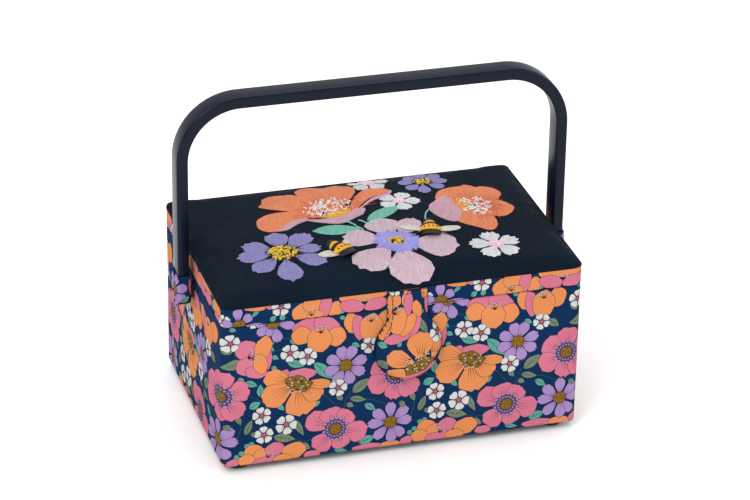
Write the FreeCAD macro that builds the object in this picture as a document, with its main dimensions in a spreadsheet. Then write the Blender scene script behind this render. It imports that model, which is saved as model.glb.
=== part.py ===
"""A fabric-covered sewing box: padded embroidered lid, swinging bow handle, magnetic closure tab, two trays.

Millimetres, +Z up, +X to the right as seen from the front, and the front faces -Y.
The origin is on the floor, in the middle of the footprint. The closure tab stands proud of the front,
so the box itself sits box_shift further back.
"""
import FreeCAD, Part
import math
import os
import re
from types import SimpleNamespace

import Sketcher
from FreeCAD import Vector

SIZES = [
    ("box_shift", 3.8),          # how far the box's middle lies behind the origin
    ("body_width", 260.0),
    ("body_depth", 170.0),
    ("foot_height", 6.0),
    ("seam_height", 115.1),      # floor to the top of the walls, where the lid begins
    ("lid_bottom", 115.5),
    ("lid_top", 131.0),
    ("corner_radius", 6.0),
    ("cover_thickness", 2.0),    # printed cotton over thin wadding
    ("board_thickness", 3.0),
    ("rail_thickness", 2.0),
    ("base_cloth_thickness", 1.0),
    ("lining_thickness", 2.0),
    ("base_lining_thickness", 1.0),
    ("lip_height", 10.0),        # how far the lining boards stand above the seam
    ("lid_board_thickness", 3.0),
    ("lid_lining_thickness", 1.5),
    ("panel_inset", 0.5),
    ("panel_thickness", 1.0),
    ("panel_skirt", 1.2),
    ("panel_crown", 8.0),
    ("stitch_thickness", 0.7),
    ("hinge_strip_width", 244.0),
    ("hinge_strip_height", 20.0),
    ("hinge_strip_thickness", 0.8),
    ("foot_radius", 9.5),
    ("foot_tread_radius", 7.0),
    ("foot_side_taper", 0.6),
    ("foot_tread_rise", 2.2),    # height of the slope round the tread
    ("foot_brim", 1.0),
    ("foot_inset", 14.5),
    ("screw_radius", 1.5),
    ("screw_head_radius", 3.0),
    ("screw_recess", 1.5),
    ("screw_length", 8.0),
    ("handle_inner_half", 133.9),
    ("handle_leg_thickness", 8.3),
    ("handle_bar_thickness", 8.7),
    ("handle_half_depth", 8.0),
    ("handle_top", 250.7),
    ("handle_corner_radius", 46.0),
    ("handle_edge", 1.8),
    ("pivot_height", 104.0),
    ("rivet_radius", 2.5),
    ("rivet_clearance", 0.08),
    ("rivet_inner_head_radius", 4.5),
    ("rivet_inner_head", 1.1),
    ("rivet_outer_head_radius", 4.2),
    ("rivet_outer_head", 1.8),
    ("rivet_head_clearance", 0.3),
    ("rivet_setback", 1.4),      # the outer head lies this far below the leg's outer face
    ("spacer_radius", 6.0),
    ("spacer_thickness", 2.3),
    ("sleeve_skin", 1.2),
    ("sleeve_side_skin", 2.0),
    ("sleeve_top", 119.0),
    ("tab_gap", 0.4),
    ("tab_neck_width", 28.8),
    ("tab_neck_thickness", 2.2),
    ("tab_top", 129.5),
    ("tab_head_lean", 2.3),      # the head hangs very slightly to the right of the neck
    ("tab_head_height", 85.0),
    ("tab_head_half_width", 24.5),
    ("tab_head_half_length", 25.5),
    ("tab_head_thickness", 8.0),
    ("magnet_radius", 6.0),
    ("magnet_thickness", 2.0),
    ("steel_disc_radius", 8.0),
    ("steel_disc_thickness", 1.0),
    ("tray_gap", 1.5),
    ("tray_wall", 2.0),
    ("tray_floor", 2.0),
    ("tray_corner_radius", 5.0),
    ("upper_tray_bottom", 81.3),
    ("upper_tray_top", 113.3),
    ("lower_tray_bottom", 47.0),
    ("lower_tray_top", 81.0),
    ("ledge_width", 6.0),
    ("ledge_bottom", 15.0),
    ("ledge_top", 46.7),
    ("pocket_width", 170.0),
    ("pocket_depth", 58.0),
    ("pocket_thickness", 3.5),
    ("pocket_back", 48.0),
    ("elastic_width", 6.0),
    ("elastic_thickness", 4.0),
    ("pincushion_length", 80.0),
    ("pincushion_width", 42.0),
    ("pincushion_thickness", 9.5),
    ("pincushion_place", -44.0),
    ("pincushion_edge", 4.0),
]

doc = FreeCAD.newDocument("sewing_box")
sheet = doc.addObject("Spreadsheet::Sheet", "sizes")
for row, (alias, number) in enumerate(SIZES, start=1):
    sheet.set(f"A{row}", alias)
    sheet.set(f"B{row}", str(number))
    sheet.setAlias(f"B{row}", alias)
doc.recompute()
size = SimpleNamespace(**{alias: sheet.get(alias) for alias, _ in SIZES})
ALIASES = re.compile(r"\b(" + "|".join(alias for alias, _ in SIZES) + r")\b")
LEFT, RIGHT = -1, 1
nodes = []


# ---------------------------------------------------------------- helpers

def bind(item, prop, formula):
    """Bind a property to a formula over the sheet, in which the aliases stand alone."""
    item.setExpression(prop, ALIASES.sub(r"sizes.\1", formula))


def keep(item):
    """Mark an object as a sub-part: its Label names its file."""
    nodes.append(item)
    return item


def box(label, span_x, span_y, span_z):
    """A block between pairs of x, y and z formulas; y is counted from the box's middle."""
    block = doc.addObject("Part::Box", label)
    block.Label = label
    spans = (("Length", "x", span_x), ("Width", "y", span_y), ("Height", "z", span_z))
    for side, axis, (low, high) in spans:
        bind(block, side, f"({high}) - ({low})")
        shift = " + box_shift" if axis == "y" else ""
        bind(block, f"Placement.Base.{axis}", f"({low}){shift}")
    return block


def cylinder(label, radius, length, place, direction=Vector(0, 0, 1)):
    """A cylinder from place, three formulas, along direction."""
    rod = doc.addObject("Part::Cylinder", label)
    rod.Label = label
    bind(rod, "Radius", radius)
    bind(rod, "Height", length)
    rod.Placement.Rotation = FreeCAD.Rotation(Vector(0, 0, 1), direction)
    for axis, formula in zip("xyz", place):
        shift = " + box_shift" if axis == "y" else ""
        bind(rod, f"Placement.Base.{axis}", f"({formula}){shift}")
    return rod


def cut(label, base, *tools):
    """What is left of the base once the tools are taken away."""
    tool = tools[0]
    if len(tools) > 1:
        tool = doc.addObject("Part::MultiFuse", label + "_tools")
        tool.Shapes = list(tools)
    result = doc.addObject("Part::Cut", label)
    result.Label = label
    result.Base = base
    result.Tool = tool
    return result


def group(label, pieces):
    """Identical loose pieces kept in one sub-part."""
    compound = doc.addObject("Part::Compound", label)
    compound.Label = label
    compound.Links = pieces
    return compound


def new_body(label, place_x="0", place_y="0", place_z="0"):
    """A PartDesign body that stands at the given place of the box."""
    body = doc.addObject("PartDesign::Body", label)
    body.Label = label
    bind(body, "Placement.Base.x", place_x)
    bind(body, "Placement.Base.y", f"({place_y}) + box_shift")
    bind(body, "Placement.Base.z", place_z)
    return body


def new_sketch(body, role, name, lift="0"):
    """A sketch on one of the body's own origin planes, raised along its normal by a formula."""
    sketch = body.newObject("Sketcher::SketchObject", name)
    plane = next(item for item in body.Origin.OriginFeatures if item.Role == role)
    sketch.AttachmentSupport = [(plane, "")]
    sketch.MapMode = "FlatFace"
    bind(sketch, "AttachmentOffset.Base.z", lift)
    return sketch


def dimension(sketch, name, constraint, formula):
    """Add a named dimension and bind it to a formula over the sheet."""
    index = sketch.addConstraint(constraint)
    sketch.renameConstraint(index, name)
    bind(sketch, f"Constraints.{name}", formula)


def arc(sketch, centre, radius, start, end):
    circle = Part.Circle(centre, Vector(0, 0, 1), radius)
    return sketch.addGeometry(Part.ArcOfCircle(circle, math.radians(start), math.radians(end)))


def rounded_rectangle(sketch, name, width, depth, radius, formulas):
    """A rectangle with round corners about the sketch's origin; formulas give width, depth and radius."""
    a, b = width / 2, depth / 2
    c, d = a - radius, b - radius
    front = sketch.addGeometry(Part.LineSegment(Vector(-c, -b), Vector(c, -b)))
    right = sketch.addGeometry(Part.LineSegment(Vector(a, -d), Vector(a, d)))
    back = sketch.addGeometry(Part.LineSegment(Vector(c, b), Vector(-c, b)))
    left = sketch.addGeometry(Part.LineSegment(Vector(-a, d), Vector(-a, -d)))
    corners = [
        arc(sketch, Vector(c, -d), radius, 270, 360),
        arc(sketch, Vector(c, d), radius, 0, 90),
        arc(sketch, Vector(-c, d), radius, 90, 180),
        arc(sketch, Vector(-c, -d), radius, 180, 270),
    ]
    sides = [front, right, back, left]
    for side, corner, following in zip(sides, corners, sides[1:] + sides[:1]):
        sketch.addConstraint(Sketcher.Constraint("Tangent", side, 2, corner, 1))
        sketch.addConstraint(Sketcher.Constraint("Tangent", corner, 2, following, 1))
    for side in (front, back):
        sketch.addConstraint(Sketcher.Constraint("Horizontal", side))
    for side in (right, left):
        sketch.addConstraint(Sketcher.Constraint("Vertical", side))
    for corner in corners[1:]:
        sketch.addConstraint(Sketcher.Constraint("Equal", corners[0], corner))
    sketch.addConstraint(Sketcher.Constraint("Symmetric", front, 1, back, 1, -1, 1))
    dimension(sketch, name + "_width", Sketcher.Constraint("DistanceX", left, 1, right, 1, width), formulas[0])
    dimension(sketch, name + "_depth", Sketcher.Constraint("DistanceY", front, 1, back, 1, depth), formulas[1])
    dimension(sketch, name + "_radius", Sketcher.Constraint("Radius", corners[0], radius), formulas[2])


def centred_rectangle(sketch, name, width, depth, formulas):
    """A plain rectangle about the sketch's origin; formulas give width and depth."""
    points = [(-1, -1), (1, -1), (1, 1), (-1, 1)]
    corner = [Vector(x * width / 2, y * depth / 2) for x, y in points]
    lines = [sketch.addGeometry(Part.LineSegment(corner[i], corner[(i + 1) % 4])) for i in range(4)]
    for i, line in enumerate(lines):
        sketch.addConstraint(Sketcher.Constraint("Coincident", line, 2, lines[(i + 1) % 4], 1))
        sketch.addConstraint(Sketcher.Constraint("Vertical" if i % 2 else "Horizontal", line))
    sketch.addConstraint(Sketcher.Constraint("Symmetric", lines[0], 1, lines[2], 1, -1, 1))
    dimension(sketch, name + "_width", Sketcher.Constraint("DistanceX", lines[0], 1, lines[0], 2, width), formulas[0])
    dimension(sketch, name + "_depth", Sketcher.Constraint("DistanceY", lines[1], 1, lines[1], 2, depth), formulas[1])


def circle_at(sketch, name, height, radius, formulas):
    """A circle on the sketch's vertical axis; formulas give its height and radius."""
    ring = sketch.addGeometry(Part.Circle(Vector(0, height), Vector(0, 0, 1), radius))
    sketch.addConstraint(Sketcher.Constraint("PointOnObject", ring, 3, -2))
    if height:
        dimension(sketch, name + "_height", Sketcher.Constraint("DistanceY", -1, 1, ring, 3, height), formulas[0])
    else:
        sketch.addConstraint(Sketcher.Constraint("PointOnObject", ring, 3, -1))
    dimension(sketch, name + "_radius", Sketcher.Constraint("Radius", ring, radius), formulas[1])


def feature(body, kind, name, sketch, length, **options):
    """A Pad or Pocket of a sketch, its length a formula."""
    item = body.newObject("PartDesign::" + kind, name)
    item.Profile = sketch
    bind(item, "Length", length)
    for option, setting in options.items():
        setattr(item, option, setting)
    sketch.Visibility = False
    return item


def polygon(sketch, points):
    """A closed outline of straight lines through points, each (x, y)."""
    corners = [Vector(x, y) for x, y in points]
    lines = []
    for i, corner in enumerate(corners):
        lines.append(sketch.addGeometry(Part.LineSegment(corner, corners[(i + 1) % len(corners)])))
    for i, line in enumerate(lines):
        sketch.addConstraint(Sketcher.Constraint("Coincident", line, 2, lines[(i + 1) % len(lines)], 1))
    return lines


def revolve(body, sketch):
    """Turn a sketch once round its own vertical axis."""
    turned = body.newObject("PartDesign::Revolution", body.Label + "_turned")
    turned.Profile = sketch
    turned.ReferenceAxis = (sketch, ["V_Axis"])
    turned.Angle = 360
    return turned


def size_of(formula):
    """The number of a formula that only adds and takes away sheet sizes and numbers."""
    total = 0.0
    for sign, word in re.findall(r"([+-]?)\s*([\w.]+)", formula):
        amount = getattr(size, word) if hasattr(size, word) else float(word)
        total += -amount if sign == "-" else amount
    return total


# ---------------------------------------------------------------- walls and base

OUTER_X = "body_width / 2"
OUTER_Y = "body_depth / 2"
BOARD_X = f"{OUTER_X} - cover_thickness"
BOARD_Y = f"{OUTER_Y} - cover_thickness"
INNER_X = f"{BOARD_X} - board_thickness"
INNER_Y = f"{BOARD_Y} - board_thickness"
LINED_X = f"{INNER_X} - lining_thickness"
LINED_Y = f"{INNER_Y} - lining_thickness"
BOARD_BOTTOM = "foot_height + base_cloth_thickness"
FLOOR_LOW = f"{BOARD_BOTTOM} + board_thickness"
FLOOR_TOP = f"{FLOOR_LOW} + base_lining_thickness"
WALL_TOP = "seam_height"
LIP_TOP = "seam_height + lip_height"


def mirrored(low, high, side):
    """A span on the right-hand or the left-hand side of the middle."""
    return (low, high) if side == RIGHT else (f"-({high})", f"-({low})")


def foot_places():
    """The formulas of the four feet's centres, with the words that name them."""
    for depth_word, depth_sign in (("front", "-"), ("back", "")):
        for side_word, side_sign in (("left", "-"), ("right", "")):
            place_x = f"{side_sign}({OUTER_X} - foot_inset)"
            place_y = f"{depth_sign}({OUTER_Y} - foot_inset)"
            yield f"{depth_word}_{side_word}", place_x, place_y


def screw_holes(label, low, height):
    """Four holes for the foot screws, through one flat piece."""
    places = list(foot_places())
    return [cylinder(f"{label}_hole_{word}", "screw_radius", height, (x, y, low)) for word, x, y in places]


base_cloth_blank = box("base_cloth_blank", (f"-({BOARD_X})", BOARD_X), (f"-({BOARD_Y})", BOARD_Y),
                       ("foot_height", BOARD_BOTTOM))
base_cloth_holes = screw_holes("base_cloth", "foot_height", "base_cloth_thickness")
keep(cut("base_cloth", base_cloth_blank, *base_cloth_holes))
base_board_blank = box("base_board_blank", (f"-({INNER_X})", INNER_X), (f"-({INNER_Y})", INNER_Y),
                       (BOARD_BOTTOM, FLOOR_LOW))
base_board_holes = screw_holes("base_board", BOARD_BOTTOM, "screw_length - foot_height + screw_recess"
                               " - base_cloth_thickness")
keep(cut("base_board", base_board_blank, *base_board_holes))
keep(box("base_lining", (f"-({LINED_X})", LINED_X), (f"-({LINED_Y})", LINED_Y), (FLOOR_LOW, FLOOR_TOP)))

# The front board has a shallow seat for the steel disc that the tab's magnet finds.
front_blank = box("front_board_blank", (f"-({BOARD_X})", BOARD_X), (f"-({BOARD_Y})", f"-({INNER_Y})"),
                  (BOARD_BOTTOM, WALL_TOP))
disc_place = ("tab_head_lean", f"-({BOARD_Y})", "tab_head_height")
disc_seat = cylinder("disc_seat", "steel_disc_radius", "steel_disc_thickness", disc_place, Vector(0, 1, 0))
keep(cut("front_board", front_blank, disc_seat))
keep(cylinder("steel_disc", "steel_disc_radius", "steel_disc_thickness", disc_place, Vector(0, 1, 0)))
keep(box("back_board", (f"-({BOARD_X})", BOARD_X), (INNER_Y, BOARD_Y), (BOARD_BOTTOM, WALL_TOP)))

for word, side in (("left", LEFT), ("right", RIGHT)):
    blank = box(f"{word}_board_blank", mirrored(INNER_X, BOARD_X, side), (f"-({INNER_Y})", INNER_Y),
                (BOARD_BOTTOM, WALL_TOP))
    outward = Vector(side, 0, 0)
    sign = "-" if side == LEFT else ""
    start = (f"{sign}({INNER_X})", "0", "pivot_height")
    shank_hole = cylinder(f"{word}_shank_hole", "rivet_radius", "board_thickness", start, outward)
    head_seat = cylinder(f"{word}_head_seat", "rivet_inner_head_radius", "rivet_inner_head", start, outward)
    keep(cut(f"{word}_board", blank, shank_hole, head_seat))

# The lining boards stand above the seam as the lip that the lid drops over.
keep(box("front_lining", (f"-({INNER_X})", INNER_X), (f"-({INNER_Y})", f"-({LINED_Y})"), (FLOOR_LOW, LIP_TOP)))
keep(box("back_lining", (f"-({INNER_X})", INNER_X), (LINED_Y, INNER_Y), (FLOOR_LOW, LIP_TOP)))
for word, side in (("left", LEFT), ("right", RIGHT)):
    keep(box(f"{word}_lining", mirrored(LINED_X, INNER_X, side), (f"-({LINED_Y})", LINED_Y), (FLOOR_LOW, LIP_TOP)))
    ledge_span = mirrored(f"{LINED_X} - ledge_width", LINED_X, side)
    keep(box(f"{word}_tray_ledge", ledge_span, (f"-({LINED_Y})", LINED_Y), ("ledge_bottom", "ledge_top")))


def fabric_band(label, low, high):
    """The printed cotton wrapped once round the boards, between two heights."""
    body = new_body(label, place_z=low)
    sketch = new_sketch(body, "XY_Plane", label + "_plan")
    rounded_rectangle(sketch, "outside", size.body_width, size.body_depth, size.corner_radius,
                      ("body_width", "body_depth", "corner_radius"))
    inside = 2 * size.cover_thickness
    centred_rectangle(sketch, "inside", size.body_width - inside, size.body_depth - inside,
                      ("body_width - 2 * cover_thickness", "body_depth - 2 * cover_thickness"))
    feature(body, "Pad", label + "_band", sketch, f"({high}) - ({low})")
    return body


outer_cover = fabric_band("outer_cover", "foot_height", WALL_TOP)
rivet_eyes = new_sketch(outer_cover, "YZ_Plane", "rivet_eyes")
circle_at(rivet_eyes, "eye", size.pivot_height - size.foot_height, size.rivet_radius,
          ("pivot_height - foot_height", "rivet_radius"))
feature(outer_cover, "Pocket", "rivet_eyes_cut", rivet_eyes, "body_width + 1", Midplane=True)
keep(outer_cover)

keep(box("hinge_strip", ("-hinge_strip_width / 2", "hinge_strip_width / 2"),
         (OUTER_Y, f"{OUTER_Y} + hinge_strip_thickness"),
         ("seam_height - hinge_strip_height / 2", "seam_height + hinge_strip_height / 2")))

# ---------------------------------------------------------------- feet

for word, place_x, place_y in foot_places():
    foot = new_body(f"{word}_foot", place_x, place_y)
    profile = new_sketch(foot, "XZ_Plane", f"{word}_foot_profile")
    tread, brim, top = size.foot_tread_radius, size.foot_radius, size.foot_height
    bore, head, recess = size.screw_radius, size.screw_head_radius, size.screw_recess
    outline = [(head, 0), (tread, 0), (brim - size.foot_side_taper, size.foot_tread_rise),
               (brim, top - size.foot_brim), (brim, top), (bore, top),
               (bore, recess), (head, recess)]
    lines = polygon(profile, outline)
    across = Sketcher.Constraint("DistanceX", -1, 1, lines[4], 1, brim)
    dimension(profile, "brim", across, "foot_radius")
    dimension(profile, "tread", Sketcher.Constraint("DistanceX", -1, 1, lines[1], 1, tread), "foot_tread_radius")
    dimension(profile, "top", Sketcher.Constraint("DistanceY", -1, 1, lines[4], 1, top), "foot_height")
    for i in (0, 4, 6):
        profile.addConstraint(Sketcher.Constraint("Horizontal", lines[i]))
    for i in (3, 5, 7):
        profile.addConstraint(Sketcher.Constraint("Vertical", lines[i]))
    revolve(foot, profile)
    keep(foot)

screws = []
for word, place_x, place_y in foot_places():
    seat = (place_x, place_y, "screw_recess")
    shank = cylinder(f"{word}_screw_shank", "screw_radius", "screw_length", seat)
    head_place = (place_x, place_y, "screw_recess / 2")
    head = cylinder(f"{word}_screw_head", "screw_head_radius", "screw_recess / 2", head_place)
    screw = doc.addObject("Part::Fuse", f"{word}_screw")
    screw.Base = shank
    screw.Tool = head
    screws.append(screw)
keep(group("foot_screws", screws))

# ---------------------------------------------------------------- lid

LID_BOARD_LOW = "lid_top - lid_board_thickness"
LID_CEILING = f"{LID_BOARD_LOW} - lid_lining_thickness"
RAIL_X = f"{BOARD_X} - rail_thickness"
RAIL_Y = f"{BOARD_Y} - rail_thickness"
RAIL_SPAN_Z = ("lid_bottom", LID_BOARD_LOW)

keep(box("lid_board", (f"-({BOARD_X})", BOARD_X), (f"-({BOARD_Y})", BOARD_Y), (LID_BOARD_LOW, "lid_top")))
keep(box("lid_lining", (f"-({RAIL_X})", RAIL_X), (f"-({RAIL_Y})", RAIL_Y), (LID_CEILING, LID_BOARD_LOW)))
keep(box("lid_front_rail", (f"-({BOARD_X})", BOARD_X), (f"-({BOARD_Y})", f"-({RAIL_Y})"), RAIL_SPAN_Z))
keep(box("lid_back_rail", (f"-({BOARD_X})", BOARD_X), (RAIL_Y, BOARD_Y), RAIL_SPAN_Z))
for word, side in (("left", LEFT), ("right", RIGHT)):
    keep(box(f"lid_{word}_rail", mirrored(RAIL_X, BOARD_X, side), (f"-({RAIL_Y})", RAIL_Y), RAIL_SPAN_Z))
keep(fabric_band("lid_rim_cover", "lid_bottom", "lid_top"))


SHOULDER = 0.62              # how far out the inner poles of the pad's top lie
POLE_REACH = 0.75 ** 2       # a cubic patch's middle rises this share of its four inner poles
HIGH = 40.0                  # taller than anything on the lid


def crowned_pad(inset, lift):
    """A pad on the lid: upright skirts, and a top that bulges smoothly towards its middle."""
    half_x = size.body_width / 2 - size.panel_inset - inset
    half_y = size.body_depth / 2 - size.panel_inset - inset
    low = size.lid_top
    edge = low + size.panel_skirt - inset + lift
    pole_lift = size.panel_crown / POLE_REACH
    steps = (-1.0, -SHOULDER, SHOULDER, 1.0)
    surface = Part.BezierSurface()
    surface.increase(3, 3)
    for i, along in enumerate(steps):
        for j, across in enumerate(steps):
            raised = edge + (pole_lift if i in (1, 2) and j in (1, 2) else 0)
            surface.setPole(i + 1, j + 1, Vector(along * half_x, across * half_y, raised))
    corners = [Vector(x * half_x, y * half_y, low) for x, y in ((-1, -1), (1, -1), (1, 1), (-1, 1))]
    faces = [surface.toShape(), Part.Face(Part.makePolygon(corners + corners[:1]))]
    rise = Vector(0, 0, edge - low)
    for i, corner in enumerate(corners):
        following = corners[(i + 1) % 4]
        loop = [corner, following, following + rise, corner + rise, corner]
        faces.append(Part.Face(Part.makePolygon(loop)))
    shell = Part.makeShell(faces)
    shell.sewShape()
    pad = Part.makeSolid(shell)
    if pad.Volume < 0:
        pad.reverse()
    return pad


def shaped(label, shape):
    """A sub-part whose shape is made directly; its Placement carries it to the box's middle."""
    item = doc.addObject("Part::Feature", label)
    item.Label = label
    item.Shape = shape
    item.Placement = FreeCAD.Placement(Vector(0, size.box_shift, 0), FreeCAD.Rotation())
    return item


foam_shape = crowned_pad(size.panel_thickness, 0)
panel_shape = crowned_pad(0, 0)
keep(shaped("lid_foam", foam_shape))
keep(shaped("lid_panel", panel_shape.cut(foam_shape)))

# Each embroidered motif covers a round patch of the lid: its centre and its reach.
MOTIFS = {
    "large_poppy": (-24, 36, 40),
    "right_poppy": (84, 10, 28),
    "front_cosmos": (-72, -30, 28),
    "back_cosmos": (56, 58, 15),
    "anemone": (9, -36, 40),
    "back_daisy": (19, 65, 9),
    "middle_daisy": (32, 30, 11),
    "right_daisy": (78, -48, 12),
}
discs = [Part.makeCylinder(reach, HIGH, Vector(x, y, size.lid_top)) for x, y, reach in MOTIFS.values()]
field = discs[0].multiFuse(discs[1:])
stitched_top = crowned_pad(0, size.stitch_thickness)
keep(shaped("embroidery", stitched_top.common(field).cut(panel_shape)))

# The two raised bees: place, turn and half lengths of the body.
BEES = {"left_bee": (-33, -34, 15), "right_bee": (36, -20, -10)}
BEE_HALF = (9.0, 5.5, 4.5)
for label, (x, y, turn) in BEES.items():
    ball = Part.makeSphere(1.0)
    stretch = FreeCAD.Matrix()
    stretch.scale(*BEE_HALF)
    bee = ball.transformGeometry(stretch)
    surface_z = size.lid_top + size.panel_skirt + size.panel_crown
    bee.rotate(Vector(0, 0, 0), Vector(0, 0, 1), turn)
    bee.translate(Vector(x, y, surface_z))
    keep(shaped(label, bee.cut(crowned_pad(0, size.stitch_thickness))))

# Inside the lid: a flat pocket with an elastic mouth, and a pincushion.
POCKET_FRONT = "pocket_back - pocket_depth"
POCKET_LOW = f"{LID_CEILING} - pocket_thickness"
POCKET_X = ("-pocket_width / 2", "pocket_width / 2")
keep(box("lid_pocket", POCKET_X, (POCKET_FRONT, "pocket_back"), (POCKET_LOW, LID_CEILING)))
keep(box("pocket_elastic", POCKET_X, (f"{POCKET_FRONT} - elastic_width", POCKET_FRONT),
         (f"{LID_CEILING} - elastic_thickness", LID_CEILING)))
pincushion = new_body("pincushion", "0", "pincushion_place", f"{LID_CEILING} - pincushion_thickness")
pincushion_plan = new_sketch(pincushion, "XY_Plane", "pincushion_plan")
rounded_rectangle(pincushion_plan, "cushion", size.pincushion_length, size.pincushion_width,
                  size.pincushion_width / 2 - 1,
                  ("pincushion_length", "pincushion_width", "pincushion_width / 2 - 1"))
cushion = feature(pincushion, "Pad", "pincushion_block", pincushion_plan, "pincushion_thickness")
doc.recompute()
soft_edge = pincushion.newObject("PartDesign::Fillet", "pincushion_soft_edge")
low_edges = []
for index, edge in enumerate(cushion.Shape.Edges, start=1):
    if max(abs(vertex.Z) for vertex in edge.Vertexes) < 0.01:
        low_edges.append(f"Edge{index}")
soft_edge.Base = (cushion, low_edges)
bind(soft_edge, "Radius", "pincushion_edge")
keep(pincushion)

# ---------------------------------------------------------------- closure tab

TAB_BACK = f"-({OUTER_Y} + tab_gap)"
tab = new_body("closure_tab", "0", TAB_BACK)
neck_plan = new_sketch(tab, "XZ_Plane", "neck_plan")
half_neck = size.tab_neck_width / 2
neck_low = size.tab_head_height + size.tab_head_half_length / 2
neck_lines = polygon(neck_plan, [(-half_neck, neck_low), (half_neck, neck_low),
                                 (half_neck, size.tab_top), (-half_neck, size.tab_top)])
for i, line in enumerate(neck_lines[1:], start=1):
    neck_plan.addConstraint(Sketcher.Constraint("Vertical" if i % 2 else "Horizontal", line))
neck_plan.addConstraint(Sketcher.Constraint("Symmetric", neck_lines[0], 1, neck_lines[0], 2, -2))
dimension(neck_plan, "neck_width", Sketcher.Constraint("DistanceX", neck_lines[0], 1, neck_lines[0], 2,
                                                       size.tab_neck_width), "tab_neck_width")
dimension(neck_plan, "neck_low", Sketcher.Constraint("DistanceY", -1, 1, neck_lines[0], 1, neck_low),
          "tab_head_height + tab_head_half_length / 2")
dimension(neck_plan, "neck_top", Sketcher.Constraint("DistanceY", -1, 1, neck_lines[2], 1, size.tab_top),
          "tab_top")
feature(tab, "Pad", "neck", neck_plan, "tab_neck_thickness")
head_plan = new_sketch(tab, "XZ_Plane", "head_plan")
head_centre = Vector(size.tab_head_lean, size.tab_head_height)
head_reach = Vector(size.tab_head_lean, size.tab_head_height + size.tab_head_half_length)
head_side = Vector(size.tab_head_lean + size.tab_head_half_width, size.tab_head_height)
oval = head_plan.addGeometry(Part.Ellipse(head_reach, head_side, head_centre))
dimension(head_plan, "lean", Sketcher.Constraint("DistanceX", -1, 1, oval, 3, size.tab_head_lean), "tab_head_lean")
dimension(head_plan, "height", Sketcher.Constraint("DistanceY", -1, 1, oval, 3, size.tab_head_height),
          "tab_head_height")
feature(tab, "Pad", "head", head_plan, "tab_head_thickness")
magnet_seat = new_sketch(tab, "XZ_Plane", "magnet_seat", "tab_gap")
seat_ring = magnet_seat.addGeometry(Part.Circle(head_centre, Vector(0, 0, 1), size.magnet_radius))
dimension(magnet_seat, "lean", Sketcher.Constraint("DistanceX", -1, 1, seat_ring, 3, size.tab_head_lean),
          "tab_head_lean")
dimension(magnet_seat, "height", Sketcher.Constraint("DistanceY", -1, 1, seat_ring, 3, size.tab_head_height),
          "tab_head_height")
dimension(magnet_seat, "radius", Sketcher.Constraint("Radius", seat_ring, size.magnet_radius), "magnet_radius")
feature(tab, "Pocket", "magnet_seat_cut", magnet_seat, "magnet_thickness", Reversed=True)
keep(tab)
keep(cylinder("tab_magnet", "magnet_radius", "magnet_thickness",
              ("tab_head_lean", f"{TAB_BACK} - tab_gap", "tab_head_height"), Vector(0, -1, 0)))

# ---------------------------------------------------------------- handle

handle = new_body("handle_bow")
bow_plan = new_sketch(handle, "XZ_Plane", "bow_plan")
inner, thick = size.handle_inner_half, size.handle_leg_thickness
outer = inner + thick
top, bar = size.handle_top, size.handle_bar_thickness
outer_radius = size.handle_corner_radius
inner_radius = outer_radius - thick
low = size.pivot_height
spring = top - outer_radius
inner_spring = top - bar - inner_radius
side_in = inner - inner_radius
side_out = outer - outer_radius
outline = [
    bow_plan.addGeometry(Part.LineSegment(Vector(-outer, low), Vector(-outer, spring))),
    arc(bow_plan, Vector(-side_out, spring), outer_radius, 90, 180),
    bow_plan.addGeometry(Part.LineSegment(Vector(-side_out, top), Vector(side_out, top))),
    arc(bow_plan, Vector(side_out, spring), outer_radius, 0, 90),
    bow_plan.addGeometry(Part.LineSegment(Vector(outer, spring), Vector(outer, low))),
    bow_plan.addGeometry(Part.LineSegment(Vector(outer, low), Vector(inner, low))),
    bow_plan.addGeometry(Part.LineSegment(Vector(inner, low), Vector(inner, inner_spring))),
    arc(bow_plan, Vector(side_in, inner_spring), inner_radius, 0, 90),
    bow_plan.addGeometry(Part.LineSegment(Vector(side_in, top - bar), Vector(-side_in, top - bar))),
    arc(bow_plan, Vector(-side_in, inner_spring), inner_radius, 90, 180),
    bow_plan.addGeometry(Part.LineSegment(Vector(-inner, inner_spring), Vector(-inner, low))),
    bow_plan.addGeometry(Part.LineSegment(Vector(-inner, low), Vector(-outer, low))),
]
LEG_OUT_LEFT, CORNER_LEFT, BAR_TOP, CORNER_RIGHT, LEG_OUT_RIGHT, END_RIGHT = outline[:6]
LEG_IN_RIGHT, INNER_RIGHT, BAR_UNDER, INNER_LEFT, LEG_IN_LEFT, END_LEFT = outline[6:]
smooth_joints = [
    (LEG_OUT_LEFT, 2, CORNER_LEFT, 2), (CORNER_LEFT, 1, BAR_TOP, 1), (BAR_TOP, 2, CORNER_RIGHT, 2),
    (CORNER_RIGHT, 1, LEG_OUT_RIGHT, 1), (LEG_IN_RIGHT, 2, INNER_RIGHT, 1), (INNER_RIGHT, 2, BAR_UNDER, 1),
    (BAR_UNDER, 2, INNER_LEFT, 1), (INNER_LEFT, 2, LEG_IN_LEFT, 1),
]
for joint in smooth_joints:
    bow_plan.addConstraint(Sketcher.Constraint("Tangent", *joint))
for joint in ((LEG_OUT_RIGHT, 2, END_RIGHT, 1), (END_RIGHT, 2, LEG_IN_RIGHT, 1),
              (LEG_IN_LEFT, 2, END_LEFT, 1), (END_LEFT, 2, LEG_OUT_LEFT, 1)):
    bow_plan.addConstraint(Sketcher.Constraint("Coincident", *joint))
for line in (BAR_TOP, BAR_UNDER, END_RIGHT):
    bow_plan.addConstraint(Sketcher.Constraint("Horizontal", line))
for line in (LEG_OUT_LEFT, LEG_OUT_RIGHT, LEG_IN_LEFT, LEG_IN_RIGHT):
    bow_plan.addConstraint(Sketcher.Constraint("Vertical", line))
bow_plan.addConstraint(Sketcher.Constraint("Equal", CORNER_LEFT, CORNER_RIGHT))
bow_plan.addConstraint(Sketcher.Constraint("Equal", INNER_LEFT, INNER_RIGHT))
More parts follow.
